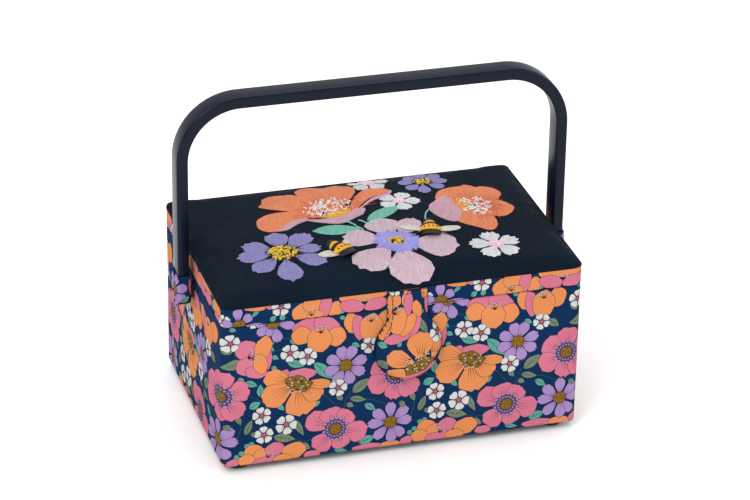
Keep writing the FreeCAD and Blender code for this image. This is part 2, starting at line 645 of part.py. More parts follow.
bow_plan.addConstraint(Sketcher.Constraint("Symmetric", LEG_OUT_LEFT, 1, LEG_OUT_RIGHT, 2, -2))
bow_plan.addConstraint(Sketcher.Constraint("Symmetric", LEG_IN_LEFT, 2, LEG_IN_RIGHT, 1, -2))
leg_gap = Sketcher.Constraint("DistanceX", -1, 1, LEG_IN_RIGHT, 1, inner)
dimension(bow_plan, "leg_inner", leg_gap, "handle_inner_half")
leg_out = Sketcher.Constraint("DistanceX", -1, 1, LEG_OUT_RIGHT, 2, outer)
dimension(bow_plan, "leg_outer", leg_out, "handle_inner_half + handle_leg_thickness")
dimension(bow_plan, "leg_end", Sketcher.Constraint("DistanceY", -1, 1, LEG_IN_RIGHT, 1, low), "pivot_height")
dimension(bow_plan, "crown", Sketcher.Constraint("DistanceY", -1, 1, BAR_TOP, 1, top), "handle_top")
under = Sketcher.Constraint("DistanceY", -1, 1, BAR_UNDER, 1, top - bar)
dimension(bow_plan, "under", under, "handle_top - handle_bar_thickness")
dimension(bow_plan, "outer_radius", Sketcher.Constraint("Radius", CORNER_LEFT, outer_radius), "handle_corner_radius")
dimension(bow_plan, "inner_radius", Sketcher.Constraint("Radius", INNER_LEFT, inner_radius),
          "handle_corner_radius - handle_leg_thickness")
bow = feature(handle, "Pad", "bow", bow_plan, "2 * handle_half_depth", Midplane=True)
end_plan = new_sketch(handle, "YZ_Plane", "leg_end_plan", "-(handle_inner_half + handle_leg_thickness)")
circle_at(end_plan, "end", size.pivot_height, size.handle_half_depth, ("pivot_height", "handle_half_depth"))
feature(handle, "Pad", "left_leg_end", end_plan, "handle_leg_thickness")
end_plan_right = new_sketch(handle, "YZ_Plane", "right_leg_end_plan", "handle_inner_half")
circle_at(end_plan_right, "end", size.pivot_height, size.handle_half_depth, ("pivot_height", "handle_half_depth"))
leg_ends = feature(handle, "Pad", "right_leg_end", end_plan_right, "handle_leg_thickness")
doc.recompute()
long_edges = []
for index, edge in enumerate(leg_ends.Shape.Edges, start=1):
    middle = edge.valueAt((edge.FirstParameter + edge.LastParameter) / 2)
    at_face = abs(abs(middle.y) - size.handle_half_depth) < 0.01
    if at_face and middle.z > size.pivot_height + 1:
        long_edges.append(f"Edge{index}")
bevel = handle.newObject("PartDesign::Chamfer", "bevel")
bevel.Base = (leg_ends, long_edges)
bind(bevel, "Size", "handle_edge")
doc.recompute()
bore_plan = new_sketch(handle, "YZ_Plane", "bore_plan")
circle_at(bore_plan, "bore", size.pivot_height, size.rivet_radius + size.rivet_clearance,
          ("pivot_height", "rivet_radius + rivet_clearance"))
feature(handle, "Pocket", "bore", bore_plan, "2 * (handle_inner_half + handle_leg_thickness) + 2", Midplane=True)
SEAT_DEPTH = "rivet_outer_head + rivet_head_clearance + rivet_setback"
for word, side in (("left", LEFT), ("right", RIGHT)):
    sign = "-" if side == LEFT else ""
    seat_plan = new_sketch(handle, "YZ_Plane", f"{word}_seat_plan",
                           f"{sign}(handle_inner_half + handle_leg_thickness)")
    circle_at(seat_plan, "seat", size.pivot_height, size.rivet_outer_head_radius + size.rivet_head_clearance,
              ("pivot_height", "rivet_outer_head_radius + rivet_head_clearance"))
    feature(handle, "Pocket", f"{word}_seat", seat_plan, SEAT_DEPTH, Reversed=side == LEFT)
keep(handle)


def side_piece(label, side, x_low, x_high, half_width, top_height):
    """A tongue beside the box: upright sides, round lower end about the handle's pivot."""
    body = new_body(label, x_low if side == RIGHT else f"-({x_high})")
    plan = new_sketch(body, "YZ_Plane", label + "_plan")
    wide = size_of(half_width)
    base, upper = size.pivot_height, size_of(top_height)
    left_line = plan.addGeometry(Part.LineSegment(Vector(-wide, upper), Vector(-wide, base)))
    bottom = arc(plan, Vector(0, base), wide, 180, 360)
    right_line = plan.addGeometry(Part.LineSegment(Vector(wide, base), Vector(wide, upper)))
    top_line = plan.addGeometry(Part.LineSegment(Vector(wide, upper), Vector(-wide, upper)))
    plan.addConstraint(Sketcher.Constraint("Tangent", left_line, 2, bottom, 1))
    plan.addConstraint(Sketcher.Constraint("Tangent", bottom, 2, right_line, 1))
    plan.addConstraint(Sketcher.Constraint("Coincident", right_line, 2, top_line, 1))
    plan.addConstraint(Sketcher.Constraint("Coincident", top_line, 2, left_line, 1))
    plan.addConstraint(Sketcher.Constraint("Horizontal", top_line))
    plan.addConstraint(Sketcher.Constraint("Vertical", left_line))
    plan.addConstraint(Sketcher.Constraint("PointOnObject", bottom, 3, -2))
    dimension(plan, "pivot", Sketcher.Constraint("DistanceY", -1, 1, bottom, 3, base), "pivot_height")
    dimension(plan, "radius", Sketcher.Constraint("Radius", bottom, wide), half_width)
    dimension(plan, "top", Sketcher.Constraint("DistanceY", -1, 1, top_line, 1, upper), top_height)
    feature(body, "Pad", label + "_block", plan, f"({x_high}) - ({x_low})")
    return body


SLEEVE_IN = "handle_inner_half - sleeve_skin"
SLEEVE_OUT = "handle_inner_half + handle_leg_thickness + sleeve_skin"
LEG_OUT = "handle_inner_half + handle_leg_thickness"
for word, side in (("left", LEFT), ("right", RIGHT)):
    sign = "-" if side == LEFT else ""
    skin = side_piece(f"{word}_sleeve_outside", side, SLEEVE_IN, SLEEVE_OUT, "handle_half_depth + sleeve_side_skin", "sleeve_top")
    filling = side_piece(f"{word}_sleeve_filling", side, "handle_inner_half", LEG_OUT, "handle_half_depth", "sleeve_top")
    eye = cylinder(f"{word}_sleeve_eye", "rivet_radius + rivet_clearance", "sleeve_skin",
                   (f"{sign}({SLEEVE_IN})", "0", "pivot_height"), Vector(side, 0, 0))
    keep(cut(f"{word}_sleeve", skin, filling, eye))

# Rivets and spacers: the left and the right one are alike, so each kind is one group.
rivets, spacers = [], []
RIVET_TIP = "handle_inner_half + handle_leg_thickness - rivet_setback"
for word, side in (("left", LEFT), ("right", RIGHT)):
    sign = "-" if side == LEFT else ""
    outward = Vector(side, 0, 0)
    start = (f"{sign}({INNER_X})", "0", "pivot_height")
    shank = cylinder(f"{word}_rivet_shank", "rivet_radius", f"{RIVET_TIP} - ({INNER_X})", start, outward)
    inner_head = cylinder(f"{word}_rivet_inner_head", "rivet_inner_head_radius", "rivet_inner_head", start, outward)
    tip = (f"{sign}({RIVET_TIP} - rivet_outer_head)", "0", "pivot_height")
    outer_head = cylinder(f"{word}_rivet_outer_head", "rivet_outer_head_radius", "rivet_outer_head", tip, outward)
    rivet = doc.addObject("Part::MultiFuse", f"{word}_rivet")
    rivet.Shapes = [shank, inner_head, outer_head]
    rivets.append(rivet)
    ring_start = (f"{sign}({OUTER_X})", "0", "pivot_height")
    disc = cylinder(f"{word}_spacer_disc", "spacer_radius", "spacer_thickness", ring_start, outward)
    eye = cylinder(f"{word}_spacer_eye", "rivet_radius", "spacer_thickness", ring_start, outward)
    spacers.append(cut(f"{word}_spacer", disc, eye))
keep(group("handle_rivets", rivets))
keep(group("handle_spacers", spacers))

# ---------------------------------------------------------------- trays


def tray(label, low, high, rows):
    """A moulded tray. rows go from front to back: each is its share of the depth and its columns' shares."""
    body = new_body(label + "_blank", place_z=low)
    plan = new_sketch(body, "XY_Plane", label + "_plan")
    wide = size.body_width - 2 * (size.cover_thickness + size.board_thickness + size.lining_thickness + size.tray_gap)
    deep = wide - size.body_width + size.body_depth
    gaps = "2 * (cover_thickness + board_thickness + lining_thickness + tray_gap)"
    rounded_rectangle(plan, "tray", wide, deep, size.tray_corner_radius,
                      (f"body_width - {gaps}", f"body_depth - {gaps}", "tray_corner_radius"))
    feature(body, "Pad", label + "_block", plan, f"{high} - {low}")
    room_x = f"(body_width - {gaps} - tray_wall)"
    room_y = f"(body_depth - {gaps} - tray_wall)"
    hollows = []
    start_y = 0.0
    for row, (share_y, columns) in enumerate(rows):
        start_x = 0.0
        for column, share_x in enumerate(columns):
            span_x = (f"{room_x} * {start_x - 0.5:.4f} + tray_wall / 2",
                      f"{room_x} * {start_x + share_x - 0.5:.4f} - tray_wall / 2")
            span_y = (f"{room_y} * {start_y - 0.5:.4f} + tray_wall / 2",
                      f"{room_y} * {start_y + share_y - 0.5:.4f} - tray_wall / 2")
            hollows.append(box(f"{label}_hollow_{row}{column}", span_x, span_y, (f"{low} + tray_floor", high)))
            start_x += share_x
        start_y += share_y
    return cut(label, body, *hollows)


UPPER_ROWS = [(0.40, (0.64, 0.36)), (0.60, (0.34, 0.33, 0.33))]
LOWER_ROWS = [(0.50, (0.5, 0.5)), (0.50, (1.0,))]
keep(tray("upper_tray", "upper_tray_bottom", "upper_tray_top", UPPER_ROWS))
keep(tray("lower_tray", "lower_tray_bottom", "lower_tray_top", LOWER_ROWS))

# ---------------------------------------------------------------- checks and files

doc.recompute()
failed = [item.Label for item in doc.Objects if "Invalid" in item.State or "Error" in item.State]
if failed:
    raise RuntimeError(f"these did not recompute: {failed}")
for item in nodes:
    if item.Shape.isNull() or not item.Shape.isValid():
        raise RuntimeError(f"{item.Label} has no valid shape")
    if item.Shape.Volume <= 0:
        raise RuntimeError(f"{item.Label} has no volume")
os.makedirs("parts", exist_ok=True)
for item in nodes:
    item.Shape.exportStep(f"parts/{item.Label}.step")
    bounds = item.Shape.BoundBox
    print(f"{item.Label:18s} {item.Shape.Volume / 1000:9.2f} cm3  solids {len(item.Shape.Solids)}"
          f"  x {bounds.XMin:8.2f} {bounds.XMax:8.2f}  y {bounds.YMin:8.2f} {bounds.YMax:8.2f}"
          f"  z {bounds.ZMin:8.2f} {bounds.ZMax:8.2f}")
print(len(nodes), "sub-parts")
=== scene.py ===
# %% [markdown]
# # A cloth-covered sewing box
# A real sewing box is card and board wrapped in printed cotton, with a soft embroidered lid, a bow
# handle and a padded closure tab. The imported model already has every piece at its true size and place,
# so each cell below takes one piece, says how the real one is made, and dresses it.

import math
import random

import bmesh
import bpy
import numpy as np
from mathutils import Matrix, Vector, noise
from mathutils.bvhtree import BVHTree
from mathutils.geometry import delaunay_2d_cdt


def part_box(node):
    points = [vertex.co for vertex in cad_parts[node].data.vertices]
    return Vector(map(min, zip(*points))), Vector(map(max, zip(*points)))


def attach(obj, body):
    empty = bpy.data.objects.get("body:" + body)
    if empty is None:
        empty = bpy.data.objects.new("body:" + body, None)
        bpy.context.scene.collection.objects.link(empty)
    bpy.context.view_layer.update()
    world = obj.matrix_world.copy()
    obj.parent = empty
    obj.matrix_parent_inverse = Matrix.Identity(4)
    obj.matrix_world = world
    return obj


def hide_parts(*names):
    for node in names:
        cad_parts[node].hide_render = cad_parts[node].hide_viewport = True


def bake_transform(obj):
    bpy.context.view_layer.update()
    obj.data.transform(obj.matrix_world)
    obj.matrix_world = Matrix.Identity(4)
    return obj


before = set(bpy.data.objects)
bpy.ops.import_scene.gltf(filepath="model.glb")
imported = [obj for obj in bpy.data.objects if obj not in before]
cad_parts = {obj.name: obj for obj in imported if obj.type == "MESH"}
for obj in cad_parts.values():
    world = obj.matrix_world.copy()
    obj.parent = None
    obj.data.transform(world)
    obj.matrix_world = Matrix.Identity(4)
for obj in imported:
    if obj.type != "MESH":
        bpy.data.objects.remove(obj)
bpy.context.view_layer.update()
MM = 0.001
scene = bpy.context.scene

# %% [markdown]
# ## Working in the box's own millimetres
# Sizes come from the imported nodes. Points are written in millimetres from the middle of the box, with z
# counted from the floor, and one function turns them into the frame's metres.

# %% Millimetre helpers
cover_low, cover_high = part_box("outer_cover")
MIDDLE_Y = (cover_low.y + cover_high.y) / 2


def span(node):
    """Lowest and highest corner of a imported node, in the box's own millimetres."""
    low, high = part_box(node)
    shift = Vector((0, MIDDLE_Y, 0))
    return (low - shift) / MM, (high - shift) / MM


def to_frame(points):
    """Box millimetres to frame metres, for an array of points."""
    moved = np.array(points, float).reshape(-1, 3) * MM
    moved[:, 1] += MIDDLE_Y
    return moved


def linked(name, data):
    """A new object in the scene that shows some data."""
    thing = bpy.data.objects.new(name, data)
    scene.collection.objects.link(thing)
    return thing


def evaluated_mesh(thing):
    """A plain mesh of an object with its modifiers applied."""
    return bpy.data.meshes.new_from_object(thing.evaluated_get(bpy.context.evaluated_depsgraph_get()))


wall_low, wall_high = span("outer_cover")
band_low, band_high = span("lid_rim_cover")
HALF_X, HALF_Y = wall_high.x, wall_high.y
CORNER = 6.0
print(f"box {2 * HALF_X:.0f} x {2 * HALF_Y:.0f} mm, lid seam at {wall_high.z:.1f} mm")

# %% [markdown]
# ## Studio
# The camera stands far off with a long lens, so the box shows almost without perspective. A big soft
# lamp on the left, a weaker one on the right and one overhead light it, and a bright even room fills the
# shadows.

# %% Camera, floor and lamps
CAMERA_PLACE = (-588.9, -1955.1, 1145.6)
CAMERA_TURN, CAMERA_DIP, CAMERA_ROLL = 16.854, 26.714, 0.981
LENS = 154.24

camera = linked("camera", bpy.data.cameras.new("camera"))
scene.camera = camera
camera.data.lens = LENS
camera.data.sensor_width = 36.0
camera.data.clip_end = 20.0
camera.location = to_frame(CAMERA_PLACE)[0]
turn, dip, roll = (math.radians(a) for a in (CAMERA_TURN, CAMERA_DIP, CAMERA_ROLL))
forward = Vector((math.sin(turn) * math.cos(dip), math.cos(turn) * math.cos(dip), -math.sin(dip)))
level = Vector((math.cos(turn), -math.sin(turn), 0))
upright = level.cross(forward)
right = math.cos(roll) * level + math.sin(roll) * upright
up = -math.sin(roll) * level + math.cos(roll) * upright
camera.rotation_euler = Matrix((right, up, -forward)).transposed().to_euler()


AIM = Vector((0, 0, 0.1))
for name, place, size, watts in (("key_lamp", (-1.3, -1.3, 1.7), 1.2, 34),
                                 ("fill_lamp", (1.6, -1.2, 1.0), 1.4, 12),
                                 ("top_lamp", (0.1, 0.5, 2.0), 1.6, 16)):
    lamp = linked(name, bpy.data.lights.new(name, "AREA"))
    lamp.data.shape = "DISK"
    lamp.data.size = size
    lamp.data.energy = watts
    lamp.location = place
    lamp.rotation_euler = (AIM - Vector(place)).to_track_quat("-Z", "Y").to_euler()

world = bpy.data.worlds.new("studio")
scene.world = world
world.use_nodes = True
room = world.node_tree.nodes["Background"].inputs
room["Color"].default_value = (1, 1, 1, 1)
room["Strength"].default_value = 0.75
scene.view_settings.view_transform = "Standard"
print(f"camera {camera.location.length:.2f} m away, {camera.data.lens:.0f} mm lens")

# %% [markdown]
# ## Colours and finishes
# Each finish is a small node tree. One factory lays down what they share: two tints mixed by a broad
# noise, an uneven roughness, and a bump. What makes a finish itself, such as the weave of the cotton or
# the specks in the board, is the choice of pattern that drives the bump.


# %% The finish factory
def tint(red, green, blue):
    """A colour picked as 0 to 255 per channel, as the linear light that shaders use."""
    channels = [c / 255 for c in (red, green, blue)]
    return tuple(c / 12.92 if c < 0.04045 else ((c + 0.055) / 1.055) ** 2.4 for c in channels) + (1,)


class Finish:
    """A material with a Principled shader and short ways to add nodes to it."""

    def __init__(self, name):
        self.material = bpy.data.materials.new(name)
        self.material.use_nodes = True
        self.tree = self.material.node_tree
        self.shader = self.tree.nodes["Principled BSDF"]

    def add(self, kind, settings=None, **sockets):
        node = self.tree.nodes.new("ShaderNode" + kind)
        for key, value in (settings or {}).items():
            setattr(node, key, value)
        for key, value in sockets.items():
            self.plug(value, node.inputs[int(key[1:]) if key[1:].isdigit() else key.replace("_", " ")])
        return node

    def plug(self, value, socket):
        if isinstance(value, bpy.types.NodeSocket):
            self.tree.links.new(value, socket)
        else:
            socket.default_value = value

    def maths(self, operation, first, second=0.0):
        return self.add("Math", {"operation": operation}, i0=first, i1=second).outputs[0]

    def mixed(self, blend, share, first, second):
        node = self.add("Mix", {"data_type": "RGBA", "blend_type": blend})
        for value, name in ((share, "Factor_Float"), (first, "A_Color"), (second, "B_Color")):
            self.plug(value, next(s for s in node.inputs if s.identifier == name))
        return next(s for s in node.outputs if s.identifier == "Result_Color")

    def noise(self, place, scale, detail=3.0):
        return self.add("TexNoise", Vector=place, Scale=scale, Detail=detail).outputs["Fac"]

    def ranged(self, value, low, high, out_low=0.0, out_high=1.0):
        return self.add("MapRange", i0=value, i1=low, i2=high, i3=out_low, i4=out_high).outputs[0]

    def object_place(self):
        return self.add("TexCoord").outputs["Object"]

    def cloth_place(self):
        return self.add("UVMap", {"uv_map": "cloth"}).outputs["UV"]

    def weave(self, place, pitch, across="X", along="Y"):
        """Height of a plain weave: threads cross over and under every pitch, in metres."""
        parts = self.add("SeparateXYZ", Vector=place)
        turns = math.pi / pitch
        first = self.maths("SINE", self.maths("MULTIPLY", parts.outputs[across], turns))
        second = self.maths("SINE", self.maths("MULTIPLY", parts.outputs[along], turns))
        over = self.maths("MULTIPLY", first, second)
        return self.maths("ADD", self.maths("ABSOLUTE", first), self.maths("MULTIPLY", over, 0.5))

    def shaded(self, colour, shade):
        """A colour times a single value."""
        grey = self.add("CombineColor", i0=shade, i1=shade, i2=shade).outputs[0]
        return self.mixed("MULTIPLY", 1.0, colour, grey)

    def bump(self, height, strength, distance):
        node = self.add("Bump", Strength=strength, Distance=distance, Height=height)
        self.tree.links.new(node.outputs[0], self.shader.inputs["Normal"])

    def surface(self, colour, roughness, **fixed):
        self.plug(colour, self.shader.inputs["Base Color"])
        self.plug(roughness, self.shader.inputs["Roughness"])
        for key, value in fixed.items():
            self.shader.inputs[key.replace("_", " ")].default_value = value
        return self.material


def plain_finish(name, light, dark, rough, patch=40.0, grain=900.0, depth=0.00004, strength=0.5, **fixed):
    """Two tints in soft patches, with a fine grain in both the roughness and the bump."""
    made = Finish(name)
    place = made.object_place()
    patches = made.ranged(made.noise(place, patch), 0.35, 0.65)
    fine = made.noise(place, grain, 4.0)
    made.bump(fine, strength, depth)
    roughness = made.ranged(fine, 0.3, 0.7, *rough)
    return made.surface(made.mixed("MIX", patches, dark, light), roughness, **fixed)


def woven_finish(name, light, dark, pitch, across="X", along="Y", **fixed):
    """Plain-woven cotton whose threads show as a fine grid, with slubs and a soft sheen."""
    made = Finish(name)
    place = made.object_place()
    height = made.weave(place, pitch, across, along)
    slubs = made.noise(place, 260.0, 4.0)
    cloudy = made.ranged(made.noise(place, 14.0), 0.3, 0.7)
    made.bump(made.maths("ADD", height, made.maths("MULTIPLY", slubs, 1.2)), 0.45, pitch * 0.25)
    base = made.mixed("MIX", cloudy, dark, light)
    # The colour is darker where the weave is low: painted shade between the threads. The slubs vary its tone as
    # well.
    shade = made.ranged(made.maths("ADD", height, slubs), 0.3, 1.9, 0.82, 1.08)
    return made.surface(made.shaded(base, shade), made.ranged(slubs, 0.3, 0.7, 0.72, 0.9), **fixed)


# %% Floor
FLOOR_REACH = 6.0
floor_mesh = bpy.data.meshes.new("floor")
floor_corners = [(x * FLOOR_REACH, y * FLOOR_REACH, 0) for x, y in ((-1, -1), (1, -1), (1, 1), (-1, 1))]
floor_mesh.from_pydata(floor_corners, [], [(0, 1, 2, 3)])
floor_mesh.materials.append(plain_finish("pale_floor", tint(252, 252, 252), tint(249, 249, 249), (0.5, 0.6),
                                         patch=3.0, grain=60.0, strength=0.05))
linked("floor", floor_mesh)
print(f"floor {2 * FLOOR_REACH:.0f} m wide")

# %% [markdown]
# ## Making a piece
# Meshes are built as arrays of points in box millimetres. Every finished piece sits at the origin with
# its place in its mesh, rides on a body where one is given, and takes its finish from its material.


# %% Piece helpers
def new_piece(name, points, faces, material, body, replaces=()):
    """A smooth-shaded piece from points in box millimetres."""
    mesh = bpy.data.meshes.new(name)
    mesh.from_pydata(to_frame(points).tolist(), [], [tuple(int(i) for i in face) for face in faces])
    mesh.shade_smooth()
    mesh.materials.append(material)
    return settle(linked(name, mesh), body, replaces)


def settle(piece, body, replaces=()):
    """Say which body a piece rides on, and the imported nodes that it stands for."""
    if body:
        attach(piece, body)
    if replaces:
        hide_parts(*replaces)
    return piece


# %% [markdown]
# ## The flower print
# The cotton is printed with solid shapes of a few inks, each with a thin dark outline. A drawing of
# overlapping shapes is turned into one flat sheet of triangles by a constrained Delaunay triangulation:
# every outline becomes an edge of the sheet, and each triangle takes the ink of the topmost shape that
# covers it. The print is then as sharp as the mesh, with no picture anywhere.

# %% Inks
INKS = {
    "navy": tint(14, 50, 92),
    "outline": tint(34, 38, 44),
    "orange": tint(243, 153, 94),
    "pink": tint(226, 126, 152),
    "lilac": tint(180, 148, 205),
    "gold": tint(140, 104, 38),
    "mustard": tint(190, 150, 50),
    "plum": tint(96, 74, 112),
    "white": tint(228, 228, 226),
    "rose": tint(196, 92, 118),
    "sage": tint(122, 140, 116),
    "mint": tint(100, 176, 160),
    "stem": tint(40, 82, 84),
}


# %% Drawing tools
BLOB_SIDES = 14
VEINED_LEAF = 9.0
GOLDEN_ANGLE = 137.5


class Drawing:
    """Closed shapes in the order in which they are printed."""

    def __init__(self):
        self.shapes = []

    def shape(self, ink, points, line=0.28):
        points = np.array(points, float)
        if line:
            ahead = np.roll(points, -1, 0) - np.roll(points, 1, 0)
            out = np.stack([ahead[:, 1], -ahead[:, 0]], 1)
            out /= np.maximum(np.linalg.norm(out, axis=1, keepdims=True), 1e-6)
            if area(points) < 0:
                out = -out
            self.shapes.append(("outline", points + out * line))
        self.shapes.append((ink, points))

    def petal(self, ink, at, angle, length, width, inner=0.0, notch=0.5, steps=10, fan=1.75):
        """A petal from its root at a point: narrow root, broad and slightly frilled end."""
        t = np.sin(np.linspace(0, math.pi / 2, steps))
        half = width / 2 * np.sin(math.pi * t ** fan) ** 0.6
        frill = 1 + 0.03 * np.sin(np.arange(steps) * 2.4 + angle)
        along = inner + (length - inner) * t * frill
        upper = np.stack([along, half], 1)
        lower = np.stack([along, -half * frill], 1)[1:-1][::-1]
        upper[-1, 0] -= notch
        self.shape(ink, placed(np.concatenate([upper, lower]), at, angle))

    def vein(self, at, angle, start, end, width):
        """A hair-thin tapering line."""
        blade = np.array([(start, -width), (end, 0), (start, width)])
        self.shapes.append(("outline", placed(blade, at, angle)))

    def dot(self, ink, at, radius, line=0.0, sides=6):
        """A small disc with few sides."""
        angles = np.arange(sides) * 2 * math.pi / sides
        ring = [(radius * math.cos(a), radius * math.sin(a)) for a in angles]
        self.shape(ink, placed(np.array(ring), at, 0), line)

    def stroke(self, ink, path, width):
        """A thin stem through points."""
        path = np.array(path, float)
        ahead = np.gradient(path, axis=0)
        side = np.stack([-ahead[:, 1], ahead[:, 0]], 1)
        side /= np.linalg.norm(side, axis=1, keepdims=True)
        left, right = path + side * width / 2, path - side * width / 2
        self.shapes.append((ink, np.concatenate([left, right[::-1]])))

    def blob(self, ink, at, long, wide, tilt=0.0, frill=0.05):
        """A rounded petal seen from the side."""
        angles = np.arange(BLOB_SIDES) * 2 * math.pi / BLOB_SIDES
        reach = 1 + frill * np.sin(angles * 5 + at[0])
        points = np.stack([np.cos(angles) * long * reach, np.sin(angles) * wide * reach], 1)
        self.shape(ink, placed(points, at, tilt))

    def leaf(self, ink, root, tip, width):
        """A pointed leaf with a midrib, and side veins if it is long."""
        root, tip = np.array(root, float), np.array(tip, float)
        length = np.linalg.norm(tip - root)
        angle = math.degrees(math.atan2(*(tip - root)[::-1]))
        t = np.linspace(0, 1, 7)
        half = width / 2 * np.sin(math.pi * t ** 0.85)
        outline = np.concatenate([np.stack([t * length, half], 1),
                                  np.stack([t * length, -half], 1)[1:-1][::-1]])
        self.shape(ink, placed(outline, root, angle), 0.22)
        self.vein(root, angle, 0, length * 0.9, 0.2)
        if length > VEINED_LEAF:
            for share in (0.3, 0.5, 0.68):
                middle = placed(np.array([(share * length, 0)]), root, angle)[0]
                for side in (34, -34):
                    self.vein(middle, angle + side, 0, width * 0.45, 0.14)

    def blobs(self, p, rows):
        """Rounded petals, a row for each, where p moves a point to its repeat of the print."""
        for ink, x, z, long, wide, tilt in rows:
            self.blob(ink, p(x, z), long, wide, tilt)

    def leaves(self, ink, p, rows):
        """Leaves, a row for each with its root, tip and width."""
        for root, tip, width in rows:
            self.leaf(ink, p(*root), p(*tip), width)


def placed(points, at, angle):
    """Points turned by an angle in degrees and moved to a place."""
    c, s = math.cos(math.radians(angle)), math.sin(math.radians(angle))
    return points @ np.array([(c, s), (-s, c)]) + np.array(at, float)


def area(points):
    """Area inside an outline, above zero if it runs anticlockwise."""
    x, y = points[:, 0], points[:, 1]
    return 0.5 * np.sum(x * np.roll(y, -1) - y * np.roll(x, -1))


# %% [markdown]
# ## The flowers of the print
# Five kinds of flower fill the cloth: pink anemones with a ring of lilac dots, lilac cosmos, open
# poppies in orange and pink, poppies seen from the side, and little white daisies between them.


# %% Flower drawings
RING_DOTS = 17


def anemone(drawing, at, petals):
    """A pink flower with two rings of lilac dots round its eye."""
    for angle, length, width in petals:
        drawing.petal("pink", at, angle, length, width, inner=2, notch=0.8)
        for fan in (-9, 0, 9):
            drawing.vein(at, angle + fan, 9, length * (0.72 if fan else 0.86), 0.2)
    drawing.dot("plum", at, 8.2, 0.3, 14)
    for spoke in np.arange(RING_DOTS) * 360 / RING_DOTS:
        drawing.dot("lilac", placed(np.array([(8.5, 0)]), at, spoke)[0], 1.05, 0.2)
        drawing.dot("lilac", placed(np.array([(6.0, 0)]), at, spoke + 10)[0], 0.75, 0.15, 5)
    golden_eye(drawing, at, 4.4)


def golden_eye(drawing, at, radius):
    """A gold disc with specks laid out like the seeds of a sunflower."""
    drawing.dot("gold", at, radius, 0.35, 11)
    count = int(radius * 5)
    for i in range(count):
        reach = radius * 0.86 * math.sqrt((i + 0.5) / count)
        spot = placed(np.array([(reach, 0)]), at, i * GOLDEN_ANGLE)[0]
        drawing.dot("outline" if i % 2 else "mustard", spot, 0.38, 0, 4)


def cosmos(drawing, at, petals):
    """A lilac flower with narrow petals."""
    for angle, length, width in petals:
        drawing.petal("lilac", at, angle, length * 1.05, width * 0.86, inner=2.5, notch=0.8)
        for fan in (-7, 7):
            drawing.vein(at, angle + fan, 4.5, length * 0.62, 0.2)
    golden_eye(drawing, at, 4.6)


def daisy(drawing, at, radius, spin):
    """A small white flower with five petals."""
    for i in range(5):
        drawing.petal("white", at, spin + i * 72, radius, radius * 0.84,
                      inner=0.8, notch=0.5, steps=7, fan=2.0)
    for i in range(15):
        drawing.vein(at, spin + i * 24 + 9, 1.0, radius * (0.5 if i % 3 else 0.62), 0.28)
    drawing.dot("rose", at, radius * 0.23, 0.5, 7)


def stamens(drawing, at, tilt, long, count=9):
    """The dark threads and pale tips in the mouth of a poppy."""
    for i in range(count):
        lean = tilt - 62 + i * 124 / (count - 1)
        reach = long * (0.7 + 0.3 * ((i * 7) % 3) / 2)
        drawing.vein(at, lean, 0.0, reach, 0.24)
        tip = placed(np.array([(reach, 0)]), at, lean)[0]
        drawing.dot("white", tip, 0.55, 0.22, 5)


